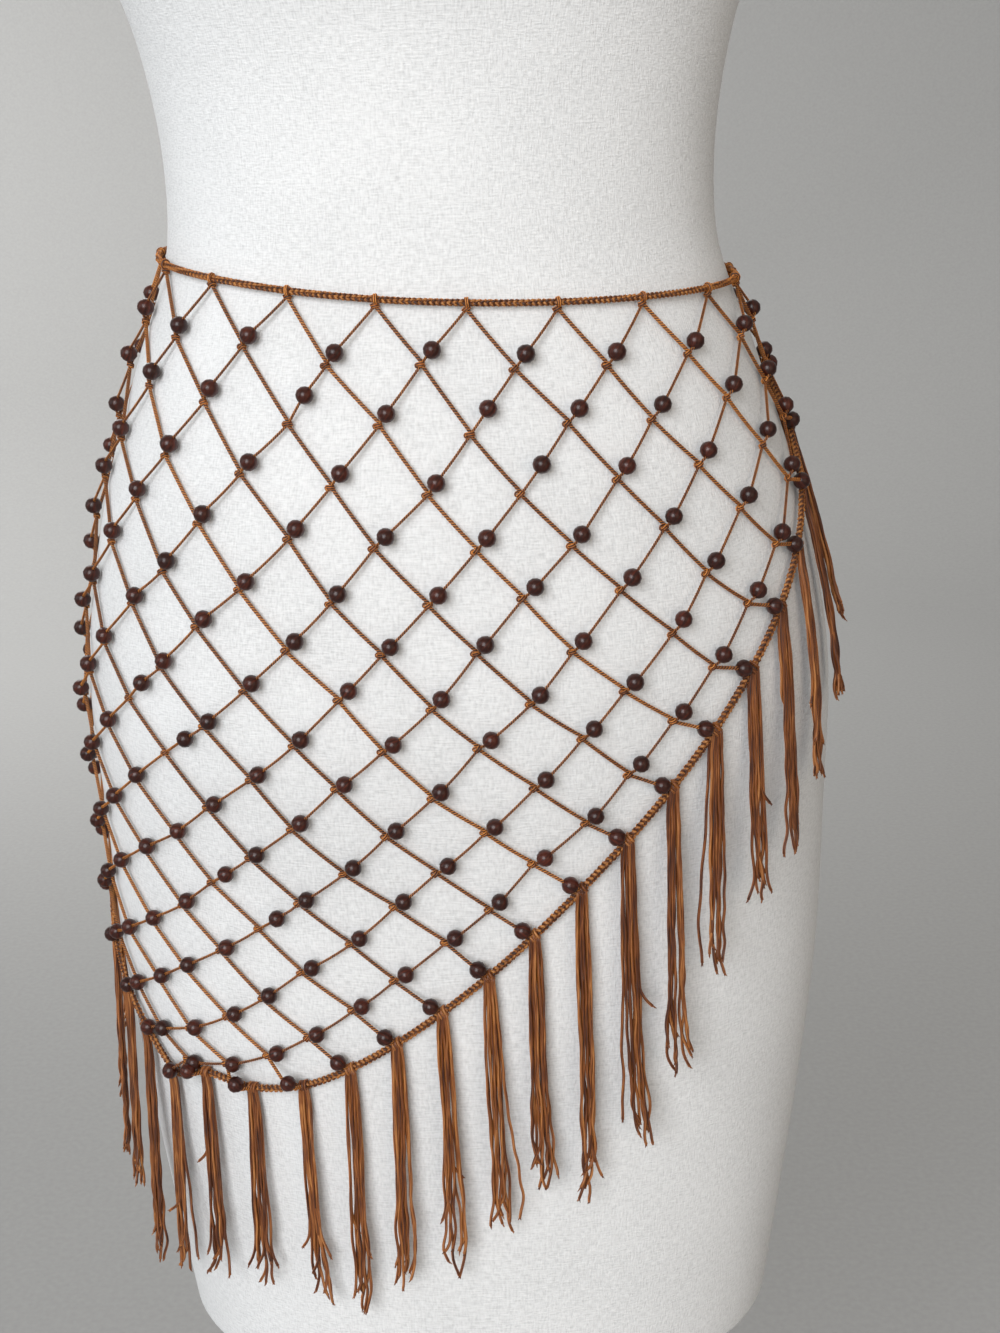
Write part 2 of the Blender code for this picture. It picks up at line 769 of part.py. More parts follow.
def makeTassels(material):
    for number in range(CELLS):
        name = f"tassel_right_{number + 1:02d}"
        line = CELLS - 1 - number
        makeTassel(name, rightHemPlace, line, RIGHT_LENGTHS[number], TASSEL_SWING, material)
    for number in range(CELLS):
        name = f"tassel_left_{number + 1:02d}"
        length = TASSEL_LENGTH + TASSEL_SPREAD * math.sin(2.7 * number)
        makeTassel(name, leftHemPlace, number + 1, length, 0.0, material)


def makeTie(material):
    arc, height = waistCordPlace(CELLS + 0.5)
    clearance = TIE_DEPTH / 2 + TIE_GAP
    centre, _, _, outward = formFrame(arc, height, clearance)
    outward = horizontal(outward)
    right = Vector((0, 0, 1)).cross(outward)
    root = centre - Vector((0, 0, TIE_HEIGHT / 2))
    root += outward * pushOff(root, outward, clearance)
    size = {
        "strands": TIE_STRANDS,
        "pitch": TIE_PITCH,
        "depth": TIE_DEPTH,
        "headHeight": TIE_HEIGHT,
        "headTop": TIE_TOP,
        "tipSpread": TIE_TIP_SPREAD,
        "clearance": clearance,
        "lean": TIE_LEAN,
        "length": TIE_LENGTH,
        "phase": 0.4,
        "steps": TIE_STEPS,
        "slope": 0.0,
        "swing": 0.0,
    }
    bundle("tie_knot", root, right, outward, size, material)


# ---------------------------------------------------------------- dress form and stand

def makeForm(material):
    """The padded, limbless body as one smooth solid from its lower edge to the neck."""
    shape = Shape()
    rings = []
    lowest = FORM_LEVELS[0]
    levels = [(lowest - FORM_EDGE, -FORM_EDGE)] + [(height, 0.0) for height in FORM_LEVELS]
    for height, growth in levels:
        halfWidth = formSection(max(height, lowest))[0]
        points = []
        for side in range(FORM_SIDES):
            angle = 2 * math.pi * side / FORM_SIDES
            point = outlinePoint(angle, max(height, lowest))
            scale = 1 + growth / halfWidth
            points.append(Vector((point.x * scale, point.y * scale, height)))
        rings.append(shape.ring(points))
    for lower, upper in zip(rings, rings[1:]):
        for side in range(FORM_SIDES):
            after = (side + 1) % FORM_SIDES
            shape.faces.append((lower[side], lower[after], upper[after], upper[side]))
    shape.faces.append(tuple(reversed(rings[0])))
    shape.faces.append(tuple(rings[-1]))
    shape.build("dress_form", material, smooth=True)


def turned(name, profile, sides, centre, material):
    """A turned solid: profile rows are radius and height, from the bottom up."""
    shape = Shape()
    rings = []
    for radius, height in profile:
        points = []
        for side in range(sides):
            angle = 2 * math.pi * side / sides
            x = centre[0] + radius * math.cos(angle)
            y = centre[1] + radius * math.sin(angle)
            points.append(Vector((x, y, height)))
        rings.append(shape.ring(points))
    for lower, upper in zip(rings, rings[1:]):
        for side in range(sides):
            after = (side + 1) % sides
            shape.faces.append((lower[side], lower[after], upper[after], upper[side]))
    shape.faces.append(tuple(reversed(rings[0])))
    shape.faces.append(tuple(rings[-1]))
    shape.build(name, material, smooth=True)


def makeStand(wood, metal):
    formBottom = FORM_LEVELS[0] - FORM_EDGE
    neckTop = FORM_LEVELS[-1] + SEAM
    neckCentre = (0.0, FORM_SECTIONS[-1][3])
    capProfile = (
        (0.0500, neckTop),
        (0.0525, neckTop + 0.003),
        (0.0525, neckTop + 0.009),
        (0.0470, neckTop + 0.014),
        (0.0120, neckTop + 0.018),
        (0.0100, neckTop + 0.026),
        (0.0150, neckTop + 0.036),
        (0.0090, neckTop + 0.047),
    )
    turned("neck_cap", capProfile, CAP_SIDES, neckCentre, wood)
    poleProfile = (
        (POLE_RADIUS, BASE_TOP + SEAM),
        (POLE_RADIUS, formBottom - 0.030),
        (COLLAR_RADIUS, formBottom - 0.024),
        (COLLAR_RADIUS, formBottom - SEAM),
    )
    turned("pole", poleProfile, POLE_SIDES, (0.0, 0.0), metal)
    baseProfile = (
        (BASE_RADIUS, 0.0),
        (BASE_RADIUS, 0.005),
        (BASE_RADIUS - 0.004, 0.008),
        (0.050, 0.010),
        (0.030, BASE_TOP),
    )
    turned("stand_base", baseProfile, BASE_SIDES, (0.0, 0.0), metal)


# ---------------------------------------------------------------- the whole part

def main():
    for item in list(bpy.data.objects):
        bpy.data.objects.remove(item)
    cordBrown = makeMaterial("cord", (0.30, 0.13, 0.045), 0.6)
    netBrown = makeMaterial("beaded_net", (0.16, 0.065, 0.028), 0.5)
    linen = makeMaterial("form_cover", (0.80, 0.78, 0.73), 0.9)
    wood = makeMaterial("stand_wood", (0.45, 0.28, 0.15), 0.5)
    metal = makeMaterial("stand_metal", (0.55, 0.55, 0.56), 0.35, 1.0)
    makeForm(linen)
    makeStand(wood, metal)
    makeNet(netBrown)
    makeWaistCord(cordBrown)
    makeHemCords(cordBrown)
    makeTie(cordBrown)
    makeTassels(cordBrown)


main()
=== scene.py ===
import math
import random

import bpy
import numpy as np
from mathutils import Matrix, Vector


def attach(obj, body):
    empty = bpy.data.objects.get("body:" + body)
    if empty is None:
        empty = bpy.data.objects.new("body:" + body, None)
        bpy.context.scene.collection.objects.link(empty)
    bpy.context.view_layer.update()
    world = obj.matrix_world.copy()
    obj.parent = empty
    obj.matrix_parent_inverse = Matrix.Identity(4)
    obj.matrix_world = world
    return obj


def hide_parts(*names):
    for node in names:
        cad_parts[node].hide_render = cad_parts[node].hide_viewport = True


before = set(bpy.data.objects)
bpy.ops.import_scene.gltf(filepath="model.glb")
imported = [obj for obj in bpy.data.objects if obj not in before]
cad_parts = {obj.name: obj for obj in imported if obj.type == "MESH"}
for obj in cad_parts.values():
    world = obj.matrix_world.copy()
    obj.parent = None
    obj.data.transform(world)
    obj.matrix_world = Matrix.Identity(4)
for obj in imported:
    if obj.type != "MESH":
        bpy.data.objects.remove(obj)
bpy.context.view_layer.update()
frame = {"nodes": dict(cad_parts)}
print("frame loaded")


# selecting and finishing pieces

def deselectAll():
    bpy.ops.object.select_all(action="DESELECT")


def makeActive(piece):
    deselectAll()
    piece.select_set(True)
    bpy.context.view_layer.objects.active = piece


def selectWhere(piece, test):
    # selects the vertices that pass the test, and what lies wholly between them
    chosen = [test(vertex.co) for vertex in piece.data.vertices]
    for vertex in piece.data.vertices:
        vertex.select = chosen[vertex.index]
    for group in (piece.data.edges, piece.data.polygons):
        for item in group:
            item.select = all(chosen[index] for index in item.vertices)


def startEdit(mode="VERT"):
    kinds = ("VERT", "EDGE", "FACE")
    bpy.context.tool_settings.mesh_select_mode = [kind == mode for kind in kinds]
    bpy.ops.object.mode_set(mode="EDIT")


def endEdit():
    bpy.ops.object.mode_set(mode="OBJECT")


def fixNormals(piece):
    makeActive(piece)
    startEdit()
    bpy.ops.mesh.select_all(action="SELECT")
    bpy.ops.mesh.normals_make_consistent(inside=False)
    endEdit()


def makeObject(name, mesh):
    piece = bpy.data.objects.new(name, mesh)
    bpy.context.scene.collection.objects.link(piece)
    return piece


def spinOutline(name, outline, centre, steps, merge, inwards=False):
    # spins rows of radius and height once round an upright axis
    mesh = bpy.data.meshes.new(name)
    points = [(centre[0] + radius, centre[1], height) for radius, height in outline]
    mesh.from_pydata(points, [(index, index + 1) for index in range(len(points) - 1)], [])
    piece = makeObject(name, mesh)
    makeActive(piece)
    startEdit()
    bpy.ops.mesh.select_all(action="SELECT")
    bpy.ops.mesh.spin(steps=steps, angle=2 * math.pi, center=(*centre, 0), axis=(0, 0, 1))
    bpy.ops.mesh.select_all(action="SELECT")
    bpy.ops.mesh.remove_doubles(threshold=merge)
    bpy.ops.mesh.normals_make_consistent(inside=inwards)
    endEdit()
    return piece


def dress(piece, material, nodes):
    # gives a finished piece its material and its place in the frame
    piece.data.materials.clear()
    piece.data.materials.append(material)
    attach(piece, "root")
    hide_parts(*nodes)
    return piece


# materials

def linearColor(text):
    # sRGB hex to the linear values that shaders take
    channels = [int(text[start:start + 2], 16) / 255 for start in (1, 3, 5)]
    linear = [c / 12.92 if c <= 0.04045 else ((c + 0.055) / 1.055) ** 2.4 for c in channels]
    return (*linear, 1.0)


def newMaterial(name):
    material = bpy.data.materials.new(name)
    material.use_nodes = True
    tree = material.node_tree
    return material, tree, tree.nodes["Principled BSDF"]


def setInputs(tree, node, inputs):
    # an input is a plain value, a socket, or a node that gives its first output
    for socket, value in inputs.items():
        if isinstance(value, bpy.types.Node):
            value = value.outputs[0]
        if isinstance(value, bpy.types.NodeSocket):
            tree.links.new(value, node.inputs[socket])
        else:
            node.inputs[socket].default_value = value


def addNode(tree, kind, inputs=None, stops=None, **settings):
    # stops are a ramp's places and colours
    node = tree.nodes.new("ShaderNode" + kind)
    for name, value in settings.items():
        setattr(node, name, value)
    setInputs(tree, node, inputs or {})
    if stops:
        ramp = node.color_ramp.elements
        while len(ramp) < len(stops):
            ramp.new(0.5)
        for element, (place, color) in zip(ramp, stops):
            element.position = place
            element.color = linearColor(color)
    return node


def makeCordMaterial(name, look):
    # mercerised cotton, spun and twisted: rust brown, softly silky, with painted shade between the
    # plies and painted highlight on their crests
    material, tree, shader = newMaterial(name)
    uv = addNode(tree, "UVMap", uv_map="UVMap")
    parts = addNode(tree, "SeparateXYZ", {"Vector": uv})
    along, around = parts.outputs["X"], parts.outputs["Y"]      # millimetres, turns round the cord
    tone = addNode(tree, "Attribute", attribute_name="tone").outputs["Fac"]
    # the ply pattern raises the bump on each ply's crest, and is also put into the colour as
    # painted shade in the grooves between the plies and painted highlight on the crests
    turns = addNode(tree, "Math", {0: along, 1: look["paintedTwist"]}, operation="MULTIPLY")
    phase = addNode(tree, "Math", {0: around, 1: look["plies"], 2: turns},
                    operation="MULTIPLY_ADD")
    angle = addNode(tree, "Math", {0: phase, 1: 2 * math.pi}, operation="MULTIPLY")
    ply = addNode(tree, "Math", {0: angle}, operation="COSINE")
    plyReliefAndShade = addNode(tree, "MapRange", {"Value": ply, "From Min": -1.0})
    shift = addNode(tree, "Math", {0: tone, 1: look["toneShift"]}, operation="MULTIPLY")
    noises = []
    for length, count, detail in (look["fibres"], look["shades"]):
        spread = addNode(tree, "VectorMath", {0: uv, 1: (1 / length, count, 0.0)},
                         operation="MULTIPLY")
        noises.append(addNode(tree, "TexNoise", noise_dimensions="4D", inputs={
            "Vector": spread, "W": shift, "Scale": 1.0, "Detail": detail}))
    fibres, shades = noises
    total = 0.0
    for layer, share in zip((plyReliefAndShade, fibres, shades, tone), look["shares"]):
        total = addNode(tree, "Math", {0: layer, 1: share, 2: total}, operation="MULTIPLY_ADD")
    height = addNode(tree, "Math", {0: fibres, 1: look["fibreRelief"], 2: plyReliefAndShade},
                     operation="MULTIPLY_ADD")
    setInputs(tree, shader, {
        "Base Color": addNode(tree, "ValToRGB", {"Fac": total}, look["colors"]),
        "Normal": addNode(tree, "Bump", {
            "Height": height, "Distance": look["relief"], "Strength": 0.8}),
        "Roughness": look["roughness"],
        "IOR": 1.5,
        "Sheen Weight": look["sheen"],
        "Sheen Roughness": look["sheenRoughness"],
        "Sheen Tint": linearColor(look["sheenTint"]),
    })
    return material


cordLook = {
    "plies": 3.0,
    "paintedTwist": 0.0,        # turns of the painted ply shade for each millimetre; 0 where the mesh itself is twisted
    "toneShift": 41.0,          # each cord shows another part of the noise
    # fibres, coarser than real ones, and uneven dye: millimetres along, count round, detail
    "fibres": (1.6, 9.0, 2.0),
    "shades": (7.0, 1.5, 3.0),
    # how much the plies (painted shade between them, painted highlight on their crests), the
    # fibres, the dye and each cord's own tone tell in its colour
    "shares": (0.42, 0.30, 0.26, 0.12),
    "fibreRelief": 0.5,
    "relief": 0.00008,
    "roughness": 0.58,
    "sheen": 0.80,
    "sheenRoughness": 0.35,
    "sheenTint": "#FF9C48",
    "colors": ((0.31, "#160601"), (0.46, "#451E07"), (0.61, "#7E4216"), (0.80, "#D88E40")),
}
netCord = makeCordMaterial("twistedCottonCord", cordLook)
plaitCord = makeCordMaterial("plaitedCottonCord", {
    **cordLook,
    "plies": 1.0,
    "paintedTwist": 0.55,
    "shares": (0.36, 0.34, 0.26, 0.12),
    "colors": ((0.28, "#1E0A02"), (0.44, "#4E2810"), (0.59, "#7C4820"), (0.79, "#C28646")),
})
tasselYarn = makeCordMaterial("looseCottonYarn", {
    **cordLook,
    "plies": 2.0,
    "paintedTwist": 0.03,
    "fibres": (7.0, 10.0, 2.0),
    "shades": (16.0, 1.5, 3.0),
    "shares": (0.12, 0.44, 0.15, 0.17),
    "relief": 0.00014,
    "roughness": 0.50,
    "sheen": 0.55,
    "colors": ((0.26, "#2A0D03"), (0.375, "#572A0E"), (0.485, "#824A20"), (0.65, "#BC8048")),
})


def makeBeadMaterial():
    # stained hardwood under a thin varnish: nearly black brown, fine grain from hole to hole
    look = {
        "grain": (26.0, 2.2, 1.0),      # streaks round the bead, breaks from hole to hole
        "toneShift": 37.0,              # each bead shows another part of the grain
        "pore": 0.5,                    # millimetres
        "stain": 0.16,                  # how much paler the palest bead is than the darkest
        "darkest": -0.06,
        "roughness": (0.22, 0.41),      # varnish sinks into the pores unevenly
        "colors": ((0.25, "#1C0502"), (0.48, "#2E0E05"), (0.66, "#46190B"), (0.86, "#60291A")),
    }
    material, tree, shader = newMaterial("stainedWoodBead")
    uv = addNode(tree, "UVMap", uv_map="UVMap")
    tone = addNode(tree, "Attribute", attribute_name="tone").outputs["Fac"]
    place = addNode(tree, "TexCoord").outputs["Object"]
    stretched = addNode(tree, "VectorMath", {0: uv, 1: look["grain"]}, operation="MULTIPLY")
    shift = addNode(tree, "Math", {0: tone, 1: look["toneShift"]}, operation="MULTIPLY")
    grain = addNode(tree, "TexNoise", noise_dimensions="4D", inputs={
        "Vector": stretched, "W": shift, "Scale": 1.0, "Detail": 4.0})
    pores = addNode(tree, "TexNoise", {
        "Vector": place, "Scale": 1000 / look["pore"], "Detail": 2.0})
    stain = addNode(tree, "Math", {0: tone, 1: look["stain"], 2: look["darkest"]},
                    operation="MULTIPLY_ADD")
    shade = addNode(tree, "Math", {0: grain, 1: stain}, operation="ADD")
    smooth, rough = look["roughness"]
    setInputs(tree, shader, {
        "Base Color": addNode(tree, "ValToRGB", {"Fac": shade}, look["colors"]),
        "Normal": addNode(tree, "Bump", {"Height": pores, "Distance": 0.00006, "Strength": 0.5}),
        "Roughness": addNode(tree, "MapRange", {"Value": pores, "To Min": smooth, "To Max": rough}),
        "Specular IOR Level": 0.38,
    })
    return material


def makeCoverMaterial():
    # bleached cotton cover: white, very fine plain weave, matt with a faint nap
    look = {
        "thread": 0.75,             # millimetres, threads drawn coarser than real ones
        "slub": 3.6,
        "cloud": 60.0,
        "threadShare": 0.42,
        "cloudShare": 0.16,
        "relief": 0.00045,
        "colors": ((0.37, "#CBCCCC"), (0.49, "#DADBDB"), (0.60, "#E4E5E5")),
    }
    material, tree, shader = newMaterial("wovenCottonCover")
    uv = addNode(tree, "UVMap", uv_map="UVMap")     # metres over the cloth
    place = addNode(tree, "TexCoord").outputs["Object"]
    thin, long = 1000 / look["thread"], 1000 / look["slub"]
    threads = []
    for scale in ((thin, long, 0.0), (long, thin, 5.0)):
        stretched = addNode(tree, "VectorMath", {0: uv, 1: scale}, operation="MULTIPLY")
        threads.append(addNode(tree, "TexNoise", {
            "Vector": stretched, "Scale": 1.0, "Detail": 2.0}))
    weave = addNode(tree, "Math", {0: threads[0], 1: threads[1]}, operation="ADD")
    cloth = addNode(tree, "Math", {0: weave, 1: look["threadShare"]}, operation="MULTIPLY")
    clouds = addNode(tree, "TexNoise", {
        "Vector": place, "Scale": 1000 / look["cloud"], "Detail": 3.0})
    both = addNode(tree, "Math", {0: clouds, 1: look["cloudShare"], 2: cloth},
                   operation="MULTIPLY_ADD")
    setInputs(tree, shader, {
        "Base Color": addNode(tree, "ValToRGB", {"Fac": both}, look["colors"]),
        "Normal": addNode(tree, "Bump", {
            "Height": weave, "Distance": look["relief"], "Strength": 0.7}),
        "Roughness": 0.9,
        "Sheen Weight": 0.10,
        "Sheen Roughness": 0.6,
    })
    return material


def makeWoodMaterial():
    # turned beech, oiled: pale brown with short darker flecks along the grain
    look = {
        "grain": 2.4,               # millimetres
        "ring": 38.0,
        "along": 0.12,              # how much both stretch upwards
        "ringShare": 0.35,
        "colors": ((0.35, "#7A5233"), (0.60, "#A87A50"), (0.90, "#C69A6C")),
    }
    material, tree, shader = newMaterial("oiledBeech")
    place = addNode(tree, "TexCoord").outputs["Object"]
    stretched = addNode(tree, "VectorMath", {0: place, 1: (1.0, 1.0, look["along"])},
                        operation="MULTIPLY")
    grain = addNode(tree, "TexNoise", {
        "Vector": stretched, "Scale": 1000 / look["grain"], "Detail": 4.0, "Distortion": 0.4})
    rings = addNode(tree, "TexWave", {
        "Vector": stretched, "Scale": 1000 / look["ring"], "Distortion": 5.0, "Detail": 2.0})
    both = addNode(tree, "Math", {0: rings.outputs["Fac"], 1: look["ringShare"], 2: grain},
                   operation="MULTIPLY_ADD")
    setInputs(tree, shader, {
        "Base Color": addNode(tree, "ValToRGB", {"Fac": both}, look["colors"]),
        "Normal": addNode(tree, "Bump", {"Height": grain, "Distance": 0.0001, "Strength": 0.4}),
        "Roughness": 0.42,
    })
    return material


def makeSteelMaterial():
    # turned mild steel with a satin nickel finish: fine lines round the axis
    look = {
        "line": 0.7,                # millimetres, turning lines drawn coarser than real ones
        "cloud": 33.0,
        "cloudShare": 0.5,
        "roughness": (0.24, 0.42),
        "colors": ((0.40, "#8E8D8A"), (0.75, "#A9A8A5"), (1.0, "#BDBCB9")),
    }
    material, tree, shader = newMaterial("satinNickelSteel")
    place = addNode(tree, "TexCoord").outputs["Object"]
    parts = addNode(tree, "SeparateXYZ", {"Vector": place})
    flat = addNode(tree, "CombineXYZ", {"X": parts.outputs["X"], "Y": parts.outputs["Y"]})
    radius = addNode(tree, "VectorMath", {0: flat}, operation="LENGTH").outputs["Value"]
    lines = addNode(tree, "CombineXYZ", {"X": radius, "Z": parts.outputs["Z"]})
    brushed = addNode(tree, "TexNoise", {
        "Vector": lines, "Scale": 1000 / look["line"], "Detail": 2.0})
    clouds = addNode(tree, "TexNoise", {
        "Vector": place, "Scale": 1000 / look["cloud"], "Detail": 3.0})
    both = addNode(tree, "Math", {0: clouds, 1: look["cloudShare"], 2: brushed},
                   operation="MULTIPLY_ADD")
    smooth, rough = look["roughness"]
    setInputs(tree, shader, {
        "Base Color": addNode(tree, "ValToRGB", {"Fac": both}, look["colors"]),
        "Normal": addNode(tree, "Bump", {
            "Height": brushed, "Distance": 0.00002, "Strength": 0.3}),
        "Roughness": addNode(tree, "MapRange", {"Value": both, "To Min": smooth, "To Max": rough}),
        "Metallic": 1.0,
    })
    return material


woodBead = makeBeadMaterial()
coverCloth = makeCoverMaterial()
beech = makeWoodMaterial()
steel = makeSteelMaterial()
print("materials made")


# the dress form's surface, which the whole belt lies on

dressForm = {
    # height, half width, half depth, shift towards the back
    "sections": (
        (0.475, 0.1560, 0.1130, 0.006),
        (0.530, 0.1640, 0.1170, 0.011),
        (0.585, 0.1715, 0.1204, 0.015),
        (0.665, 0.1795, 0.1252, 0.018),
        (0.745, 0.1815, 0.1264, 0.018),
        (0.825, 0.1800, 0.1277, 0.010),
        (0.905, 0.1635, 0.1168, 0.002),
        (0.965, 0.1436, 0.1054, 0.000),
        (1.025, 0.1236, 0.0928, 0.000),
        (1.105, 0.1297, 0.0935, 0.000),
        (1.195, 0.1610, 0.1150, -0.006),
        (1.265, 0.1640, 0.1070, -0.001),
        (1.325, 0.1440, 0.0850, 0.008),
        (1.362, 0.1040, 0.0690, 0.013),
        (1.385, 0.0700, 0.0580, 0.016),
        (1.410, 0.0560, 0.0540, 0.018),
        (1.450, 0.0530, 0.0520, 0.018),
    ),
    "squareness": 2.3,          # exponent of the rounded outline, 2 is an ellipse
    "bustHeight": 1.20,
    "neckHeight": 1.36,         # a plain ellipse from here up
    "sides": 120,
    "ringStep": 0.007,
    "edge": 0.006,              # rounding of the lower edge
    "edgeSteps": 5,
    # the cover turns in at both ends to these shares of its size, then meets a board
    "footShares": (0.97, 0.90),
    "neckShares": (0.96,),
    "footRise": 0.003,
    "neckRise": -0.001,
    "boardInset": 0.02,
    "merge": 0.00002,
}


def formSection(height):
    # half width, half depth and shift, on a smooth curve through the sections
    rows = dressForm["sections"]
    last = len(rows) - 1
    index = 0
    while index < last - 1 and height > rows[index + 1][0]:
        index += 1

    def slope(row, column):
        low, high = max(row - 1, 0), min(row + 1, last)
        return (rows[high][column] - rows[low][column]) / (rows[high][0] - rows[low][0])

    step = rows[index + 1][0] - rows[index][0]
    t = (height - rows[index][0]) / step
    values = []
    for column in (1, 2, 3):
        value = (2 * t**3 - 3 * t**2 + 1) * rows[index][column]
        value += (3 * t**2 - 2 * t**3) * rows[index + 1][column]
        value += (t**3 - 2 * t**2 + t) * step * slope(index, column)
        value += (t**3 - t**2) * step * slope(index + 1, column)
        values.append(value)
    return values


def squareness(height):
    rise = dressForm["neckHeight"] - dressForm["bustHeight"]
    part = min(max((height - dressForm["bustHeight"]) / rise, 0.0), 1.0)
    return dressForm["squareness"] + (2.0 - dressForm["squareness"]) * part


def outlinePoint(angle, height):
    # angle 0 is the front centre line, positive towards +X
    halfWidth, halfDepth, shift = formSection(height)
    power = 2.0 / squareness(height)
    across = math.copysign(abs(math.sin(angle)) ** power, math.sin(angle))
    forward = math.copysign(abs(math.cos(angle)) ** power, math.cos(angle))
    return Vector((halfWidth * across, shift - halfDepth * forward, height))


outlineCache = {}


def halfOutline(height, steps=120):
    # angles and arc lengths along one half of the outline, from the front to the back
    key = round(height, 6)
    if key not in outlineCache:
        angles, arcs = [0.0], [0.0]
        before = outlinePoint(0.0, height)
        for step in range(1, steps + 1):
            point = outlinePoint(math.pi * step / steps, height)
            arcs.append(arcs[-1] + (point - before).length)
            angles.append(math.pi * step / steps)
            before = point
        outlineCache[key] = (angles, arcs)
    return outlineCache[key]


def formPoint(arc, height):
    # the point a distance along the outline from the front centre line
    angles, arcs = halfOutline(height)
    half = arcs[-1]
    arc = (arc + half) % (2 * half) - half
    angle = float(np.interp(abs(arc), arcs, angles))
    return outlinePoint(math.copysign(angle, arc), height)


def formFrame(arc, height, standoff):
    # a point off the surface, and the ways right, up and outwards there
    nudge = 0.002
    right = (formPoint(arc + nudge, height) - formPoint(arc - nudge, height)).normalized()
    up = (formPoint(arc, height + nudge) - formPoint(arc, height - nudge)).normalized()
    outward = right.cross(up).normalized()
    up = outward.cross(right).normalized()
    return formPoint(arc, height) + outward * standoff, right, up, outward


def pushOff(point, outward, clearance):
    # how far a point moves out to hang clear of the form at its own height
    halfWidth, halfDepth, shift = formSection(point.z)
    power = squareness(point.z)
    furthest, halvings = 0.08, 20

    def inside(distance):
        moved = point + outward * distance
        across = abs(moved.x) / (halfWidth + clearance)
        along = abs(moved.y - shift) / (halfDepth + clearance)
        return across**power + along**power < 1

    if not inside(0.0):
        return 0.0
    low, high = 0.0, furthest
    for _ in range(halvings):
        middle = (low + high) / 2
        if inside(middle):
            low = middle
        else:
            high = middle
    return high


def makeFormBody():
    # a grid wrapped round the form's outline, then closed at the hem and the neck
    lowest, highest = dressForm["sections"][0][0], dressForm["sections"][-1][0]
    edge, edgeSteps = dressForm["edge"], dressForm["edgeSteps"]
    levels = []
    for step in range(edgeSteps):
        turn = math.pi / 2 * step / edgeSteps
        levels.append((lowest - edge * math.cos(turn), edge * (1 - math.sin(turn))))
    rings = int((highest - lowest) / dressForm["ringStep"])
    levels += [(lowest + (highest - lowest) * ring / rings, 0.0) for ring in range(rings + 1)]
    bpy.ops.mesh.primitive_grid_add(x_subdivisions=dressForm["sides"],
                                    y_subdivisions=len(levels) - 1, size=2)
    body = bpy.context.object
    body.name = body.data.name = "formBody"
    uvLayer = body.data.uv_layers["UVMap"].data
    perimeter = 2 * halfOutline(lowest)[1][-1]
    for loop in body.data.loops:
        place = uvLayer[loop.index].uv
        row = round(place.y * (len(levels) - 1))
        place.x *= perimeter
        place.y = levels[row][0]
    for vertex in body.data.vertices:
        row = round((vertex.co.y + 1) / 2 * (len(levels) - 1))
        height, inset = levels[row]
        point = outlinePoint(math.pi * vertex.co.x, max(height, lowest))
        shrink = 1 - inset / formSection(max(height, lowest))[0]
        vertex.co = (point.x * shrink, point.y * shrink, height)
    makeActive(body)
    startEdit()
    bpy.ops.mesh.select_all(action="SELECT")
    bpy.ops.mesh.remove_doubles(threshold=dressForm["merge"])
    endEdit()
    foot, near = levels[0][0], 0.0001
    for place, shares, rise in ((foot, dressForm["footShares"], dressForm["footRise"]),
                                (highest, dressForm["neckShares"], dressForm["neckRise"])):
        selectWhere(body, lambda spot: abs(spot.z - place) < near)
        startEdit("EDGE")
        centre = (0.0, formSection(max(place, lowest))[2], place)
        before = 1.0
        for share in shares:
            bpy.ops.mesh.extrude_edges_move()
            size = (share / before, share / before, 1)
            bpy.ops.transform.resize(value=size, center_override=centre)
            before = share
        bpy.ops.mesh.extrude_edges_move(TRANSFORM_OT_translate={"value": (0, 0, rise)})
        bpy.ops.mesh.edge_face_add()
        bpy.ops.mesh.inset(thickness=dressForm["boardInset"])
        endEdit()
    fixNormals(body)
    bpy.ops.object.shade_smooth_by_angle(angle=math.radians(40))
    return dress(body, coverCloth, ["dress_form"])


def makeTurned(name, outline, centre, material, node, steps):
    # a turned piece: outline rows are radius and height, from the bottom up
    closed = [(0.0, outline[0][1]), *outline, (0.0, outline[-1][1])]
    piece = spinOutline(name, closed, centre, steps, merge=0.00001)
    bpy.ops.object.shade_smooth_by_angle(angle=math.radians(35))
    return dress(piece, material, [node])


def roundedOutline(outline, radius, steps=4):
    # replaces each inner corner of an outline by a small arc
    points = [Vector(place) for place in outline]
    longest = 0.45              # share of a side that a rounding takes at most
    rounded = [points[0]]
    for before, corner, after in zip(points, points[1:], points[2:]):
        reach = min(radius, (before - corner).length * longest, (after - corner).length * longest)
        start = corner + (before - corner).normalized() * reach
        end = corner + (after - corner).normalized() * reach
        for step in range(steps + 1):
            t = step / steps
            rounded.append(start * (1 - t) ** 2 + corner * 2 * t * (1 - t) + end * t**2)
    rounded.append(points[-1])
    return [tuple(point) for point in rounded]


stand = {
    # radius and height, and how much each corner is rounded
    "cap": (                    # from just above the neck
        (0.0000, 0.000), (0.0500, 0.000), (0.0530, 0.003), (0.0530, 0.009), (0.0480, 0.014),
        (0.0300, 0.0165), (0.0125, 0.0185), (0.0095, 0.024), (0.0110, 0.029), (0.0150, 0.034),
        (0.0150, 0.039), (0.0110, 0.044), (0.0050, 0.0468), (0.0000, 0.0470)),
    "capGap": 0.0003,
    "capRounding": 0.0025,
    "poleFoot": ((0.0115, 0.0163), (0.0125, 0.0173)),
    "poleCollar": (             # from the form's lower edge
        (0.0125, -0.032), (0.0155, -0.029), (0.0300, -0.026), (0.0300, -0.0004),
        (0.0125, -0.0004)),
    "poleRounding": 0.0015,
    "base": (
        (0.209, 0.0000), (0.210, 0.0012), (0.210, 0.0050), (0.206, 0.0080), (0.052, 0.0098),
        (0.044, 0.0105), (0.031, 0.0128), (0.030, 0.0160), (0.0125, 0.0160)),
    "baseRounding": 0.002,
    "steps": 96,
    "baseSteps": 128,
}


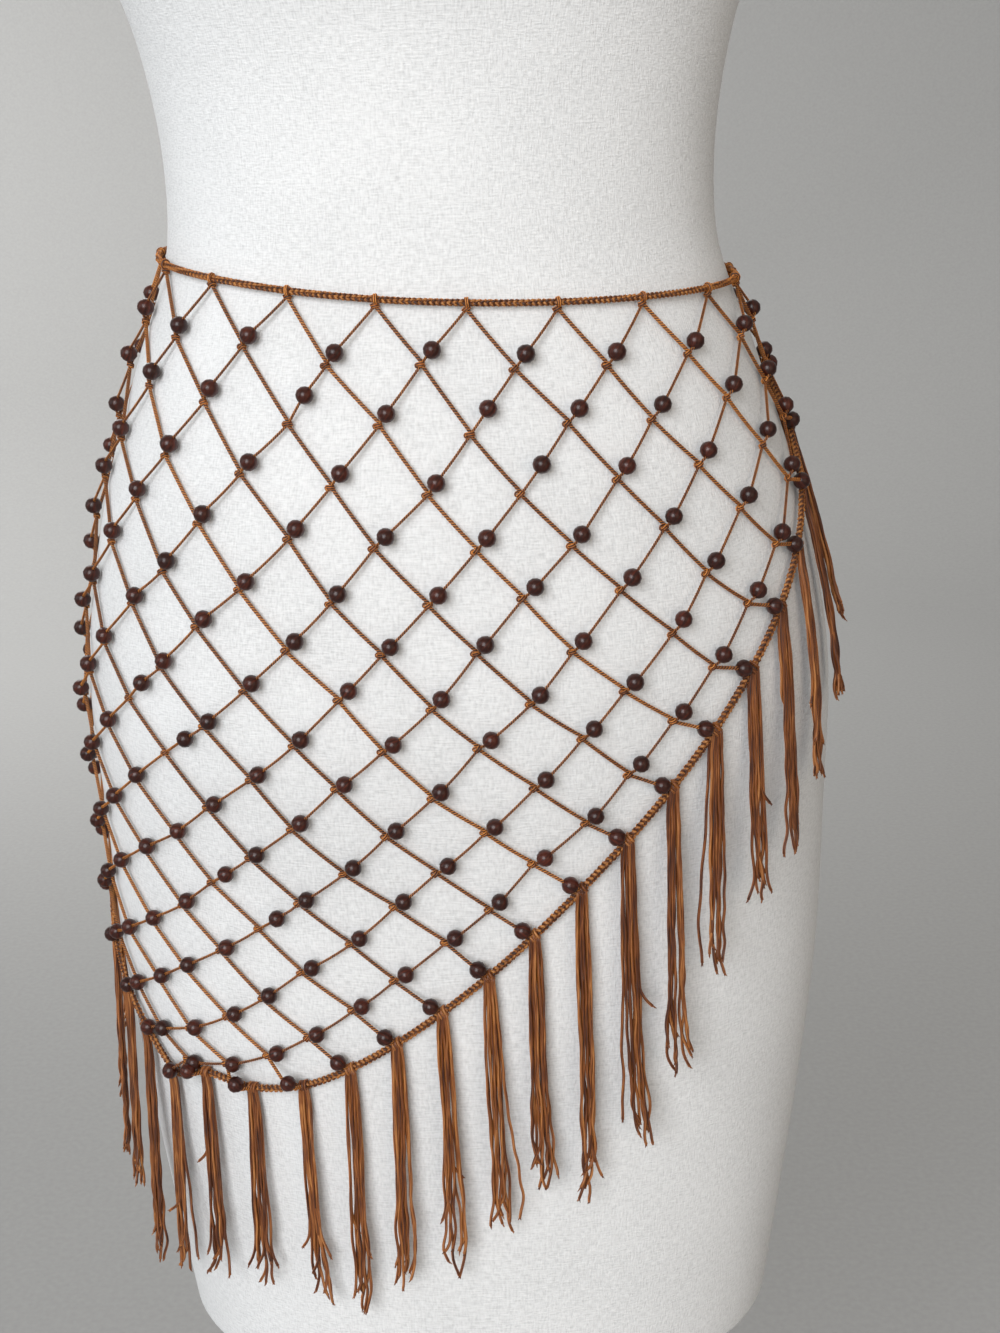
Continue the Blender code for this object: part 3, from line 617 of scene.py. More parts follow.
def makeStand():
    neck, neckBack = dressForm["sections"][-1][0] + stand["capGap"], dressForm["sections"][-1][3]
    cap = [(radius, neck + height)
           for radius, height in roundedOutline(stand["cap"], stand["capRounding"])[1:-1]]
    makeTurned("neckCap", cap, (0.0, neckBack), beech, "neck_cap", stand["steps"])
    formFoot = dressForm["sections"][0][0] - dressForm["edge"]
    pole = list(stand["poleFoot"])
    pole += [(radius, formFoot + height) for radius, height in stand["poleCollar"]]
    makeTurned("standPole", roundedOutline(pole, stand["poleRounding"]), (0.0, 0.0),
               steel, "pole", stand["steps"])
    makeTurned("standBase", roundedOutline(stand["base"], stand["baseRounding"]), (0.0, 0.0),
               steel, "stand_base", stand["baseSteps"])


makeFormBody()
makeStand()
print("form and stand made")


# cords: paths, and tubes swept along them

def asRows(points):
    return np.asarray([tuple(point) for point in points], float)


def unitRows(rows):
    return rows / np.linalg.norm(rows, axis=1)[:, None]


def runLengths(path):
    return np.concatenate([[0.0], np.cumsum(np.linalg.norm(np.diff(path, axis=0), axis=1))])


def rowsAt(places, marks, rows):
    return np.stack([np.interp(places, marks, rows[:, axis]) for axis in range(3)], axis=1)


def stretchRows(rows, count):
    # the same run of directions over more points
    return rowsAt(np.linspace(0, 1, count), np.linspace(0, 1, len(rows)), asRows(rows))


def evenPath(points, step):
    # the same line with a point every step
    points = asRows(points)
    runs = runLengths(points)
    count = max(2, int(round(runs[-1] / step)) + 1)
    return rowsAt(np.linspace(0.0, runs[-1], count), runs, points)


def smoothPath(points, step):
    # an even path on a smooth curve through the points
    points = asRows(points)
    padded = np.concatenate([[2 * points[0] - points[1]], points, [2 * points[-1] - points[-2]]])
    fineStep = 0.1
    fine = []
    for index in range(len(points) - 1):
        a, b, c, d = padded[index:index + 4]
        for t in np.arange(0.0, 1.0, fineStep):
            fine.append(0.5 * (2 * b + (c - a) * t + (2 * a - 5 * b + 4 * c - d) * t**2
                               + (3 * b - a - 3 * c + d) * t**3))
    fine.append(points[-1])
    return evenPath(fine, step)


def crossSection(radius, sides, plies=1, dip=0.0):
    # round, or with one bulge for each ply
    angles = 2 * np.pi * np.arange(sides) / sides
    reach = radius * (1 - dip * (1 - np.cos(plies * angles)) / 2)
    return np.stack([np.cos(angles) * reach, np.sin(angles) * reach], axis=1)


def sweepCords(name, cords, section):
    # one mesh of closed tubes; a cord is its path, its outward direction, its twist and its tone
    sides = len(section)
    around = np.arange(sides)
    points, faces, uvs, tones = [], [], [], []
    first = 0
    for cord in cords:
        path = cord["path"]
        count = len(path)
        travel = unitRows(np.gradient(path, axis=0))
        side = unitRows(np.cross(travel, np.asarray(cord["outward"], float)))
        lift = np.cross(side, travel)
        runs = runLengths(path)
        turn = 2 * np.pi * runs / cord["turn"] if cord.get("turn") else np.zeros(count)
        sine, cosine = np.sin(turn)[:, None], np.cos(turn)[:, None]
        width = cord.get("width", np.ones(count))[:, None]
        x = (cosine * section[:, 0] - sine * section[:, 1]) * width
        y = (sine * section[:, 0] + cosine * section[:, 1]) * width
        ring = path[:, None] + side[:, None] * x[:, :, None] + lift[:, None] * y[:, :, None]
        points.append(ring.reshape(-1, 3))
        tones.append(np.full(count * sides, cord["tone"]))
        rows = first + sides * np.arange(count - 1)[:, None]
        start, after = rows + around, rows + (around + 1) % sides
        quads = np.stack([start, start + sides, after + sides, after], axis=2).reshape(-1, 4)
        low, high = np.repeat(runs[:-1] * 1000, sides), np.repeat(runs[1:] * 1000, sides)
        left = np.tile(around / sides, count - 1)
        right = left + 1 / sides
        corners = np.stack([low, left, high, left, high, right, low, right], axis=1)
        uvs += [corners.reshape(-1, 2), np.zeros((2 * sides, 2))]
        faces += quads.tolist()
        end = first + count * sides
        faces.append(list(range(first, first + sides)))
        faces.append(list(range(end - sides, end))[::-1])
        first = end
    mesh = bpy.data.meshes.new(name)
    mesh.from_pydata(np.concatenate(points), [], faces)
    corners = np.concatenate(uvs).astype(np.float32)
    mesh.uv_layers.new(name="UVMap").data.foreach_set("uv", corners.ravel())
    attribute = mesh.attributes.new("tone", "FLOAT", "POINT")
    attribute.data.foreach_set("value", np.concatenate(tones).astype(np.float32))
    mesh.shade_smooth()
    piece = makeObject(name, mesh)
    fixNormals(piece)
    return piece


def wrapPath(wrap, centre, axis, across, outward, scale=1.0):
    # cord wound round an axis: reach across and outwards, turns, length along the axis, points
    wide, deep, turns, rise, steps = wrap
    points = []
    for step in range(steps + 1):
        angle = 2 * math.pi * turns * step / steps
        place = centre + axis * (rise * (step / steps - 0.5))
        place += across * (scale * wide * math.cos(angle))
        place += outward * (scale * deep * math.sin(angle))
        points.append(place)
    return asRows(points)


def woundCord(wrap, centre, axis, across, outward, scale=1.0):
    path = wrapPath(wrap, centre, axis, across, outward, scale)
    return {"path": path, "outward": axis, "tone": chance.random()}


plait = {
    "strands": 3,
    "step": 0.0007,
    "sides": 6,
    "strandTurn": 0.004,        # a full turn of a strand's own twist
    "toneStep": 0.1,            # each strand is a little paler than the one before
}


def plaitStrands(points, outwards, size):
    # strands plaited about a smooth line; outwards are one direction, or one for each point
    centres = smoothPath(points, plait["step"])
    outwards = unitRows(stretchRows(outwards, len(centres)))
    ups = unitRows(np.cross(outwards, np.gradient(centres, axis=0)))
    runs = runLengths(centres)
    strands = []
    for strand in range(plait["strands"]):
        phase = 2 * np.pi * (runs / size["pitch"] + strand / plait["strands"])
        strands.append(centres + ups * (size["reach"] * np.sin(phase))[:, None]
                       + outwards * (size["depth"] * np.sin(2 * phase))[:, None])
    return strands, outwards


# the net's layout

net = {
    "cells": 19,
    "frontColumn": 12.65,       # column on the form's front centre line
    "frontArc": 0.0021,
    "cellWidth": 0.0368,
    "cellGrowth": 0.00837,      # widening of the columns over ten rows, and how it eases off
    "cellEasing": -0.00288,
    "waistHeight": 1.001,
    "rowDrop": 0.25917,         # depth of ten rows, and how the rows close up
    "rowEasing": -0.03175,
    "backLift": 0.0057,         # how much higher the net lies at the back and the sides
    "liftGrowth": 0.0254,
    "sideLift": 0.0072,
    "sideTilt": -0.0060,        # and how it tilts from side to side, at the waist and further down
    "tiltGrowth": 0.0084,
    "waistDip": 0.0045,         # the waist cord alone sits lower over the left hip
    "dipEasing": 1.2,
    "columnsRound": 19.6,
    "knotStandoff": 0.0027,
    "beadStandoff": 0.0048,
    "tipColumn": 9.5,           # the lowest corner, which the hem draws up and to one side
    "tipLift": 0.0065,
    "tipShift": 0.19,
    "tipSpread": 1.2,
    "leftReach": 0.62,          # the last cords to the hem are this part of a full one
    "rightReach": 0.52,         # and on the right they grow longer towards the fifth line
    "reachGrowth": 0.42,
    "longestLine": 5.0,
    "reachSpread": 6.5,
    "tipReach": 0.50,           # but are cut short at the lowest corner
    "tipEasing": 0.9,
    "tipSlide": 0.35,           # where they also meet the hem further up along it
    "tipSlideEasing": 1.5,
    "hemSlide": 0.27,           # lines past the seventh meet the hem this far up along it
    "slideStart": 7.0,
    "slideLines": 5.0,
    "waistKnotDrop": 0.0022,    # the topmost knots sit right under the waist cord
    "knotStray": 0.0018,        # knots tied by hand sit up to this far off the even net
}
netNodes = ["net_left", "net_right"]
chance = random.Random(19)


def netPlace(column, row):
    # distance round the form and height of a place in the net
    fromTip = (row - net["cells"]) ** 2 + (column - net["tipColumn"]) ** 2
    gather = math.exp(-fromTip / net["tipSpread"])
    across = column - net["frontColumn"] - net["tipShift"] * gather
    tens = row / 10
    turn = 2 * math.pi * across / net["columnsRound"]
    pitch = net["cellWidth"] + net["cellGrowth"] * tens + net["cellEasing"] * tens**2
    height = net["waistHeight"] - net["rowDrop"] * tens - net["rowEasing"] * tens**2
    height += (net["backLift"] + net["liftGrowth"] * tens) * (1 - math.cos(turn)) / 2
    height += net["sideLift"] * (1 - math.cos(2 * turn)) / 2
    height += (net["sideTilt"] + net["tiltGrowth"] * tens) * math.sin(turn)
    height += net["tipLift"] * gather
    height -= net["waistDip"] * max(math.sin(turn), 0.0) ** 2 * math.exp(-net["dipEasing"] * row)
    return net["frontArc"] + across * pitch, height


def netFrame(column, row, standoff):
    return formFrame(*netPlace(column, row), standoff)


def rightHemPlace(falling):
    # column and row where a falling line meets the hem
    reach = net["rightReach"] - net["tipReach"] * math.exp(-net["tipEasing"] * falling)
    fromLongest = (falling - net["longestLine"]) / net["reachSpread"]
    reach += net["reachGrowth"] * math.exp(-(fromLongest**2))
    slid = min(max((falling - net["slideStart"]) / net["slideLines"], 0.0), 1.0)
    slide = net["hemSlide"] * slid + net["tipSlide"] * math.exp(-net["tipSlideEasing"] * falling)
    line = falling + slide
    return (line + net["cells"] + reach) / 2, net["cells"] - line + reach


def leftHemPlace(rising):
    return (rising - net["leftReach"]) / 2, rising + net["leftReach"]


def tieKnots():
    # every crossing of a falling and a rising line, by its two numbers
    knots = {}
    stray = net["knotStray"]
    for falling in range(net["cells"] + 1):
        for rising in range(falling, net["cells"] + 1):
            place, right, up, outward = netFrame(
                (falling + rising) / 2, rising - falling, net["knotStandoff"])
            if falling == rising:
                place -= up * net["waistKnotDrop"]
            else:
                place += right * (stray * chance.uniform(-1, 1))
                place += up * (stray * chance.uniform(-1, 1))
            knots[(falling, rising)] = {
                "place": place, "right": right, "up": up, "outward": outward}
    return knots


# waist cord and hem cords: three strands plaited

waistCord = {
    "standoff": 0.0034,
    "strandRadius": 0.00072,
    "reach": 0.00088,
    "depth": 0.00060,
    "pitch": 0.0066,
    "tone": 0.4,
    "tieTop": 0.0080,           # the gap that the tie fills
    "besideEnds": 0.15,         # cells past the net's ends at which the cord is guided too
}
hemCord = {
    "radius": 0.0015,           # of the whole plait
    "standoff": 0.0031,
    "strandRadius": 0.00087,
    "reach": 0.00106,
    "depth": 0.00070,
    "pitch": 0.0078,
    "tone": 0.3,
    "startRight": ((0.08, 0.08), (0.01, 0.95)),     # columns past the last line, rows down
    "startLeft": ((-0.14, 0.08), (-0.06, 0.95)),
    "binding": (0.002405, 0.00185, 4.0, 0.0046, 40),    # as the net's knots
    "bindingDrop": 0.0006,
}


def waistPlace(column):
    # the last cell is the gap that the tie closes
    cells = net["cells"]
    if column <= cells:
        return netPlace(column, 0)
    startArc, startHeight = netPlace(cells, 0)
    endArc, endHeight = netPlace(0, 0)
    turn = 2 * halfOutline(endHeight)[1][-1]
    part = column - cells
    arc = startArc + (endArc + turn - startArc) * part
    return arc, startHeight + (endHeight - startHeight) * part


def plaitOnForm(name, frames, size, node):
    strands, outwards = plaitStrands(
        [frame[0] for frame in frames], [frame[3] for frame in frames], size)
    cords = []
    for index, path in enumerate(strands):
        cords.append({"path": path, "outward": outwards, "turn": plait["strandTurn"],
                      "tone": size["tone"] + plait["toneStep"] * index})
    piece = sweepCords(name, cords, crossSection(size["strandRadius"], plait["sides"]))
    dress(piece, plaitCord, [node])


def makeWaistCord():
    cells, beside = net["cells"], waistCord["besideEnds"]
    gap = waistPlace(cells + 1)[0] - waistPlace(cells)[0]
    tieHalf = waistCord["tieTop"] / 2 / gap
    columns = [0.5 + tieHalf - 1, -beside] + [step / 2 for step in range(2 * cells + 1)]
    columns += [cells + beside, cells + 0.5 - tieHalf]
    frames = []
    for column in columns:
        around = column if column >= 0 else cells + 1 + column
        frames.append(formFrame(*waistPlace(around), waistCord["standoff"]))
    plaitOnForm("waistCord", frames, waistCord, "waist_cord")


def makeHemCords():
    cells = net["cells"]
    right = [(cells + across, row) for across, row in hemCord["startRight"]]
    right += [rightHemPlace(line) for line in range(cells - 1, -1, -1)]
    left = [*hemCord["startLeft"], *(leftHemPlace(line) for line in range(1, cells + 1))]
    middle = [(a + b) / 2 for a, b in zip(netPlace(*right[-1]), netPlace(*left[-1]))]
    for name, places, node in (("hemCordRight", right, "hem_cord_right"),
                               ("hemCordLeft", left, "hem_cord_left")):
        frames = [netFrame(*place, hemCord["standoff"]) for place in places]
        frames.append(formFrame(*middle, hemCord["standoff"]))
        plaitOnForm(name, frames, hemCord, node)


makeWaistCord()
makeHemCords()
knots = tieKnots()
print("waist and hem cords made")


# the net's cords, knots and beads

netCords = {
    "fallingRadius": 0.00090,   # the lines down to the right are the thicker cord
    "risingRadius": 0.00072,
    "sides": 6,
    "plies": 3,
    "dip": 0.24,                # how deep the grooves between the plies are
    "fallingTurn": 0.0042,      # a full turn of the twist
    "risingTurn": 0.0036,
    "ringsPerTurn": 8,
    "fallingSag": 0.0004,       # slack of one cell's cord, times a random share
    "risingSag": 0.0003,
    "fallingSlack": (0.3, 1.5),
    "risingSlack": (0.0, 1.5),
    "knotJog": 0.0006,          # a falling line comes in this far above a crossing and leaves below
    "cellSteps": 8,
    "beadSteps": 4,
}
netKnots = {
    "wrapRadius": 0.00060,
    "sides": 5,
    # reach across and outwards, turns, length along the axis, points
    "knot": (0.001403, 0.00122, 1.8, 0.0017, 14),
    "eye": (0.00085, 0.00085, 1.05, 0.0004, 9),
    "loop": (0.00185, 0.001702, 1.5, 0.0012, 16),       # over the waist cord
    "sizes": (0.9, 1.15),
    "drop": 0.0006,             # a knot's turns sit a little below and left of the crossing
    "drops": (0.2, 1.0),
    "lean": 0.5,
    "eyeAside": 0.0017,         # and leave a small eye of cord on its left
    "eyeDrop": 0.5,
    "eyeLean": 0.6,
}
beads = {
    "radius": 0.0040,
    "hole": 0.0009,
    "squash": 0.95,             # a little shorter along the hole than across
    "segments": 12,
    "rings": 6,
    "poleCut": 0.93,            # the hole's edge starts at this share of the radius
    "sizes": (0.975, 1.02),
    "cordReach": 0.92,          # where the cord enters, as a share of the radius
    "bulge": 0.06,              # stretches over the form's curve lift their bead
    "rest": 0.0062,             # from a knot's centre to the bead that rests on it
    "wander": 0.0008,
    "wanderSteps": (2.4, 5.1),
    "hemRest": 0.0052,
    "ridersRight": (0, 1, 2),   # lines whose last bead rides on the hem cord
    "ridersLeft": (19,),
    "riderLift": 0.0038,
    # beads that have slipped up their cord: falling line, rising line, distance from the knot below
    "slipped": {
        (10, 12): 0.0139,
        (12, 14): 0.0124,
        (5, 13): 0.0159,
        (5, 14): 0.0175,
        (12, 15): 0.0145,
        (4, 16): 0.0118,
        (4, 17): 0.0129,
    },
}


def sagging(start, end, sag, count):
    # a nearly taut cord between two places
    points = []
    for step in range(count + 1):
        t = step / count
        points.append(start.lerp(end, t) - Vector((0, 0, sag * 4 * t * (1 - t))))
    return points


def beadOn(lower, upper, rest, raised=0.0):
    # a bead threaded between two knots: its centre, and the way its hole runs
    stretch = upper["place"] - lower["place"]
    travel = stretch.normalized()
    part = rest / stretch.length
    outward = lower["outward"].lerp(upper["outward"], part).normalized()
    lift = net["beadStandoff"] - net["knotStandoff"] + raised
    lift += stretch.length * part * (1 - part) * beads["bulge"]
    place = lower["place"] + travel * rest + outward * lift
    return {"place": place, "travel": travel, "outward": outward}


def threaded(start, bead, end, sag):
    # a cord from one place to another through a bead
    reach = bead["travel"] * (beads["radius"] * beads["cordReach"])
    points = [start, bead["place"] - reach, bead["place"], bead["place"] + reach]
    return points + sagging(bead["place"] + reach, end, sag, netCords["beadSteps"])[1:]


def restOf(falling, rising):
    # how far above its knot a bead comes to rest
    first, second = beads["wanderSteps"]
    rest = beads["rest"] + beads["wander"] * math.sin(first * falling + second * rising)
    return beads["slipped"].get((falling, rising), rest)


def lastStretch(knot, start, hemPlace, riding):
    # from a line's last knot, through its last bead, to the hem
    end, _, _, outward = netFrame(*hemPlace, hemCord["standoff"])
    rest = (end - knot["place"]).length - beads["hemRest"] - hemCord["radius"]
    raised = beads["riderLift"] if riding else 0.0
    bead = beadOn(knot, {"place": end, "outward": outward}, rest, raised)
    points = threaded(start, bead, end, 0.0)
    return bead, points, [outward] * len(points)


def layNet():
    falling, rising, threadedBeads = [], [], []
    cells, jog, steps = net["cells"], netCords["knotJog"], netCords["cellSteps"]
    for line in range(cells):
        # down to the right, from the waist cord to the right-hand hem
        points, outwards = [], []
        for crossing in range(line, cells):
            upper, lower = knots[(line, crossing)], knots[(line, crossing + 1)]
            sag = netCords["fallingSag"] * chance.uniform(*netCords["fallingSlack"])
            points += sagging(upper["place"] - upper["up"] * jog,
                              lower["place"] + lower["up"] * jog, sag, steps)
            outwards += [upper["outward"].lerp(lower["outward"], step / steps)
                         for step in range(steps + 1)]
        last = knots[(line, cells)]
        start = last["place"] - last["up"] * jog
        bead, endPoints, endOutwards = lastStretch(
            last, start, rightHemPlace(line), line in beads["ridersRight"])
        threadedBeads.append(bead)
        falling.append((points + endPoints, outwards + endOutwards))
        # down to the left, from the waist cord to the left-hand hem
        number = cells - line
        points, outwards = [], []
        for crossing in range(number, 0, -1):
            upper, lower = knots[(crossing, number)], knots[(crossing - 1, number)]
            bead = beadOn(lower, upper, restOf(crossing - 1, number))
            threadedBeads.append(bead)
            sag = netCords["risingSag"] * chance.uniform(*netCords["risingSlack"])
            stretch = threaded(lower["place"], bead, upper["place"], sag)[::-1]
            points += stretch[:-1]
            outwards += [bead["outward"]] * (len(stretch) - 1)
        last = knots[(0, number)]
        bead, endPoints, endOutwards = lastStretch(
            last, last["place"], leftHemPlace(number), number in beads["ridersLeft"])
        threadedBeads.append(bead)
        rising.append((points + endPoints, outwards + endOutwards))
    return falling, rising, threadedBeads


def makeNetCords(kind, lines):
    turn = netCords[kind + "Turn"]
    cords = []
    for points, outwards in lines:
        path = evenPath(points, turn / netCords["ringsPerTurn"])
        cords.append({"path": path, "outward": stretchRows(outwards, len(path)), "turn": turn,
                      "tone": chance.random()})
    section = crossSection(netCords[kind + "Radius"], netCords["sides"], netCords["plies"],
                           netCords["dip"])
    dress(sweepCords(kind + "Cords", cords, section), netCord, netNodes)


def makeNetKnots():
    cords = []
    lean, aside = netKnots["lean"], netKnots["eyeAside"]
    for (falling, rising), knot in knots.items():
        centre, right, up, outward = (knot[key] for key in ("place", "right", "up", "outward"))
        below = knots.get((falling, rising + 1))
        axis = (below["place"] - centre if below else right - up).normalized()
        axis = axis + right * chance.uniform(-lean, lean) - up * chance.uniform(0, lean)
        axis.normalize()
        scale = chance.uniform(*netKnots["sizes"])
        lowered = centre - (up + right) * (netKnots["drop"] * chance.uniform(*netKnots["drops"]))
        across = axis.cross(outward).normalized()
        cords.append(woundCord(netKnots["knot"], lowered, axis, across, outward, scale))
        if falling < rising:
            drop = aside * chance.uniform(0.0, netKnots["eyeDrop"])
            tilt = chance.uniform(-netKnots["eyeLean"], netKnots["eyeLean"])
            axis = (outward + up * tilt).normalized()
            cords.append(woundCord(netKnots["eye"], centre - right * aside - up * drop, axis,
                                   right, up))
        else:
            onWaist = formFrame(*waistPlace(falling), waistCord["standoff"])[0]
            axis = (right + up * chance.uniform(-lean, lean)).normalized()
            cords.append(woundCord(netKnots["loop"], onWaist, axis, up, outward))
    # thread that binds the hem cords' upper ends to the waist cord
    for across in (hemCord["startRight"][0][0], 1 + hemCord["startLeft"][0][0]):
        place = waistPlace(net["cells"] + across)
        centre, right, up, outward = formFrame(*place, waistCord["standoff"])
        cords.append(woundCord(hemCord["binding"], centre - up * hemCord["bindingDrop"], right,
                               up, outward))
    piece = sweepCords("netKnots", cords, crossSection(netKnots["wrapRadius"], netKnots["sides"]))
    dress(piece, netCord, netNodes)


def modelBead():
    # a turned ball with a drilled hole along Z
    radius, squash, near = beads["radius"], beads["squash"], 0.0001
    bpy.ops.mesh.primitive_uv_sphere_add(
        segments=beads["segments"], ring_count=beads["rings"], radius=radius)
    ball = bpy.context.object
    ball.scale.z = squash
    makeActive(ball)
    bpy.ops.object.transform_apply(location=False, rotation=False, scale=True)
    selectWhere(ball, lambda spot: abs(spot.z) > radius * beads["poleCut"])
    startEdit("VERT")
    bpy.ops.mesh.delete(type="VERT")
    endEdit()
    rim = max(vertex.co.z for vertex in ball.data.vertices)
    rimRadius = max(vertex.co.xy.length for vertex in ball.data.vertices
                    if vertex.co.z > rim - near)
    selectWhere(ball, lambda spot: abs(spot.z) > rim - near)
    startEdit("EDGE")
    narrow = beads["hole"] / rimRadius
    rise = squash * math.sqrt(radius**2 - beads["hole"] ** 2) / rim
    bpy.ops.mesh.extrude_edges_move()
    bpy.ops.transform.resize(value=(narrow, narrow, rise), center_override=(0, 0, 0))
    bpy.ops.mesh.bridge_edge_loops()
    bpy.ops.mesh.select_all(action="SELECT")
    bpy.ops.mesh.normals_make_consistent(inside=False)
    endEdit()
    bpy.ops.object.shade_smooth_by_angle(angle=math.radians(50))
    return ball


def makeBeads(threadedBeads):
    model = modelBead()
    copies = []
    for bead in threadedBeads:
        copy = makeObject("bead", model.data.copy())
        tone = copy.data.attributes.new("tone", "FLOAT", "POINT")
        tone.data.foreach_set("value", [chance.random()] * len(copy.data.vertices))
        side = bead["travel"].cross(bead["outward"]).normalized()
        lift = side.cross(bead["travel"])
        turn = Matrix((side, lift, bead["travel"])).transposed().to_4x4()
        roll = Matrix.Rotation(chance.uniform(0, 2 * math.pi), 4, "Z")
        size = Matrix.Scale(chance.uniform(*beads["sizes"]), 4)
        copy.data.transform(Matrix.Translation(bead["place"]) @ turn @ roll @ size)
        copies.append(copy)
    bpy.data.objects.remove(model)
    makeActive(copies[0])
    for copy in copies:
        copy.select_set(True)
    bpy.ops.object.join()
    joined = bpy.context.object
    joined.name = joined.data.name = "woodBeads"
    dress(joined, woodBead, netNodes)


fallingLines, risingLines, threadedBeads = layNet()
makeNetCords("falling", fallingLines)
makeNetCords("rising", risingLines)
makeNetKnots()
makeBeads(threadedBeads)
print("net made with", len(threadedBeads), "beads")


# tassels: loose strands of yarn knotted round the hem cord, cut and fraying at their ends

tassels = {
    "across": 5,
    "layers": 2,
    "strandRadius": 0.00074,
    "sides": 5,
    "rings": 54,
    "pitch": 0.00140,           # strand spacing across and in depth, and how uneven it is
    "depthPitch": 0.00135,
    "pitchStray": 0.0004,
    "depthStray": 0.00025,
    "gather": 0.40,             # how much the knot draws them together, and how soon that fades
    "depthGather": 0.3,
    "gatherFade": 0.011,
    "opening": (0.95, 1.35),    # how much a tassel opens towards its tips
    "loosenFrom": 0.35,         # from this share of the length the strands go their own way
    "loosening": 1.4,
    "sway": 0.00020,            # sideways waver of a strand in the bundle, and of a loose one
    "looseSway": 0.00085,
    "longWave": (0.045, 0.080),
    "shortWave": (0.016, 0.028),
    "shortSway": 0.5,
    "depthSway": 0.6,
    "drift": 0.0022,            # how far a loose strand strays at most
    "tail": 0.013,              # the end that flicks aside, forwards and up
    "flick": 0.0034,
    "tailLift": 0.0014,
    "tailRise": 0.0012,
    "shortening": 0.16,         # strands are up to this part shorter than the longest
    "shorteningPower": 1.3,
    "strayChance": 0.07,        # a few strands leave the bundle
    "stray": (0.004, 0.013),
    "strayPower": 1.5,
    "strayLength": (0.78, 1.0),
    "cutChance": 0.05,          # and a few are cut short
    "cutLength": (0.42, 0.72),
    "cutFlick": (0.0040, 0.0068),
    "lazy": 0.0022,             # how far a whole tassel's tips drift, and how it wavers
    "lazyPower": 1.3,
    "waver": 0.0009,
    "waverLength": 2.6,
    "outwardDrift": 0.0006,
    "tuftFibres": 3,            # fibres that fray out of a cut end
    "tuftSpread": (0.6, 0.4),
    "tuftLength": (0.0010, 0.0021),
    "tuftRoot": 0.0004,
    "tuftWidths": (0.62, 0.42, 0.12),
    "headHeight": 0.0065,
    "hemGap": 0.0006,
    "startOut": 0.0010,
    "knot": (0.00215, 0.00215, 2.6, 0.0040, 24),        # as the net's knots
    "clearance": 0.0036,
    "lean": 0.035,
    "hangSteps": 30,
    "swing": 0.015,             # sideways drift of the right-hand tassels
    "leftLength": 0.114,
    "leftSpread": 0.010,
    "leftRhythm": 2.7,
    # lengths down the right-hand side, from the tie to the lowest point
    "rightLengths": (0.086, 0.088, 0.090, 0.092, 0.100, 0.108, 0.102, 0.108, 0.132, 0.144,
                     0.150, 0.120, 0.128, 0.130, 0.120, 0.124, 0.108, 0.100, 0.106),
}
fullTurn = 6.28                 # radians
upright = Vector((0, 0, 1))


def horizontal(direction):
    return Vector((direction.x, direction.y, 0)).normalized()


def either(spread):
    # a random distance to one side or the other
    return chance.choice((-1, 1)) * chance.uniform(*spread)


def hangLine(root, outward, length):
    # how far out the bundle hangs at even drops, lying on the form where that bulges
    push, drops, offsets = 0.0, [0.0], [0.0]
    for step in range(1, tassels["hangSteps"] + 1):
        drop = length * step / tassels["hangSteps"]
        push = max(push, pushOff(root - upright * drop, outward, tassels["clearance"]))
        drops.append(drop)
        offsets.append(push + tassels["lean"] * drop)
    return drops, offsets


def strandHabit(length):
    # how one strand differs from its neighbours: length, drift, and the flick of its end
    shortened = tassels["shortening"] * chance.random() ** tassels["shorteningPower"]
    habit = {
        "length": length * (1 - shortened),
        "stray": 0.0,
        "drift": chance.uniform(-1, 1) * tassels["drift"],
        "flick": chance.uniform(-tassels["flick"], tassels["flick"]),
        "lift": chance.uniform(0.0, tassels["tailLift"]),
        "longPhase": chance.uniform(0, fullTurn),
        "shortPhase": chance.uniform(0, fullTurn),
        "longWave": chance.uniform(*tassels["longWave"]),
        "shortWave": chance.uniform(*tassels["shortWave"]),
    }
    kind = chance.random()
    if kind < tassels["strayChance"]:
        habit["stray"] = either(tassels["stray"])
        habit["length"] *= chance.uniform(*tassels["strayLength"])
    elif kind < tassels["strayChance"] + tassels["cutChance"]:
        habit["length"] *= chance.uniform(*tassels["cutLength"])
        habit["flick"] = either(tassels["cutFlick"])
    return habit


def tuftAt(path, right, outward):
    # the few fibres that fray out of a cut end
    end = Vector(path[-1])
    way = (end - Vector(path[-3])).normalized()
    aside, forwards = tassels["tuftSpread"]
    fibres = []
    for _ in range(tassels["tuftFibres"]):
        aim = way + right * chance.uniform(-aside, aside)
        aim += outward * chance.uniform(-forwards, forwards)
        reach = chance.uniform(*tassels["tuftLength"])
        points = [end - way * tassels["tuftRoot"], end + aim * (reach * 0.5), end + aim * reach]
        fibres.append({"path": asRows(points), "outward": outward, "tone": chance.random(),
                       "width": np.array(tassels["tuftWidths"])})
    return fibres


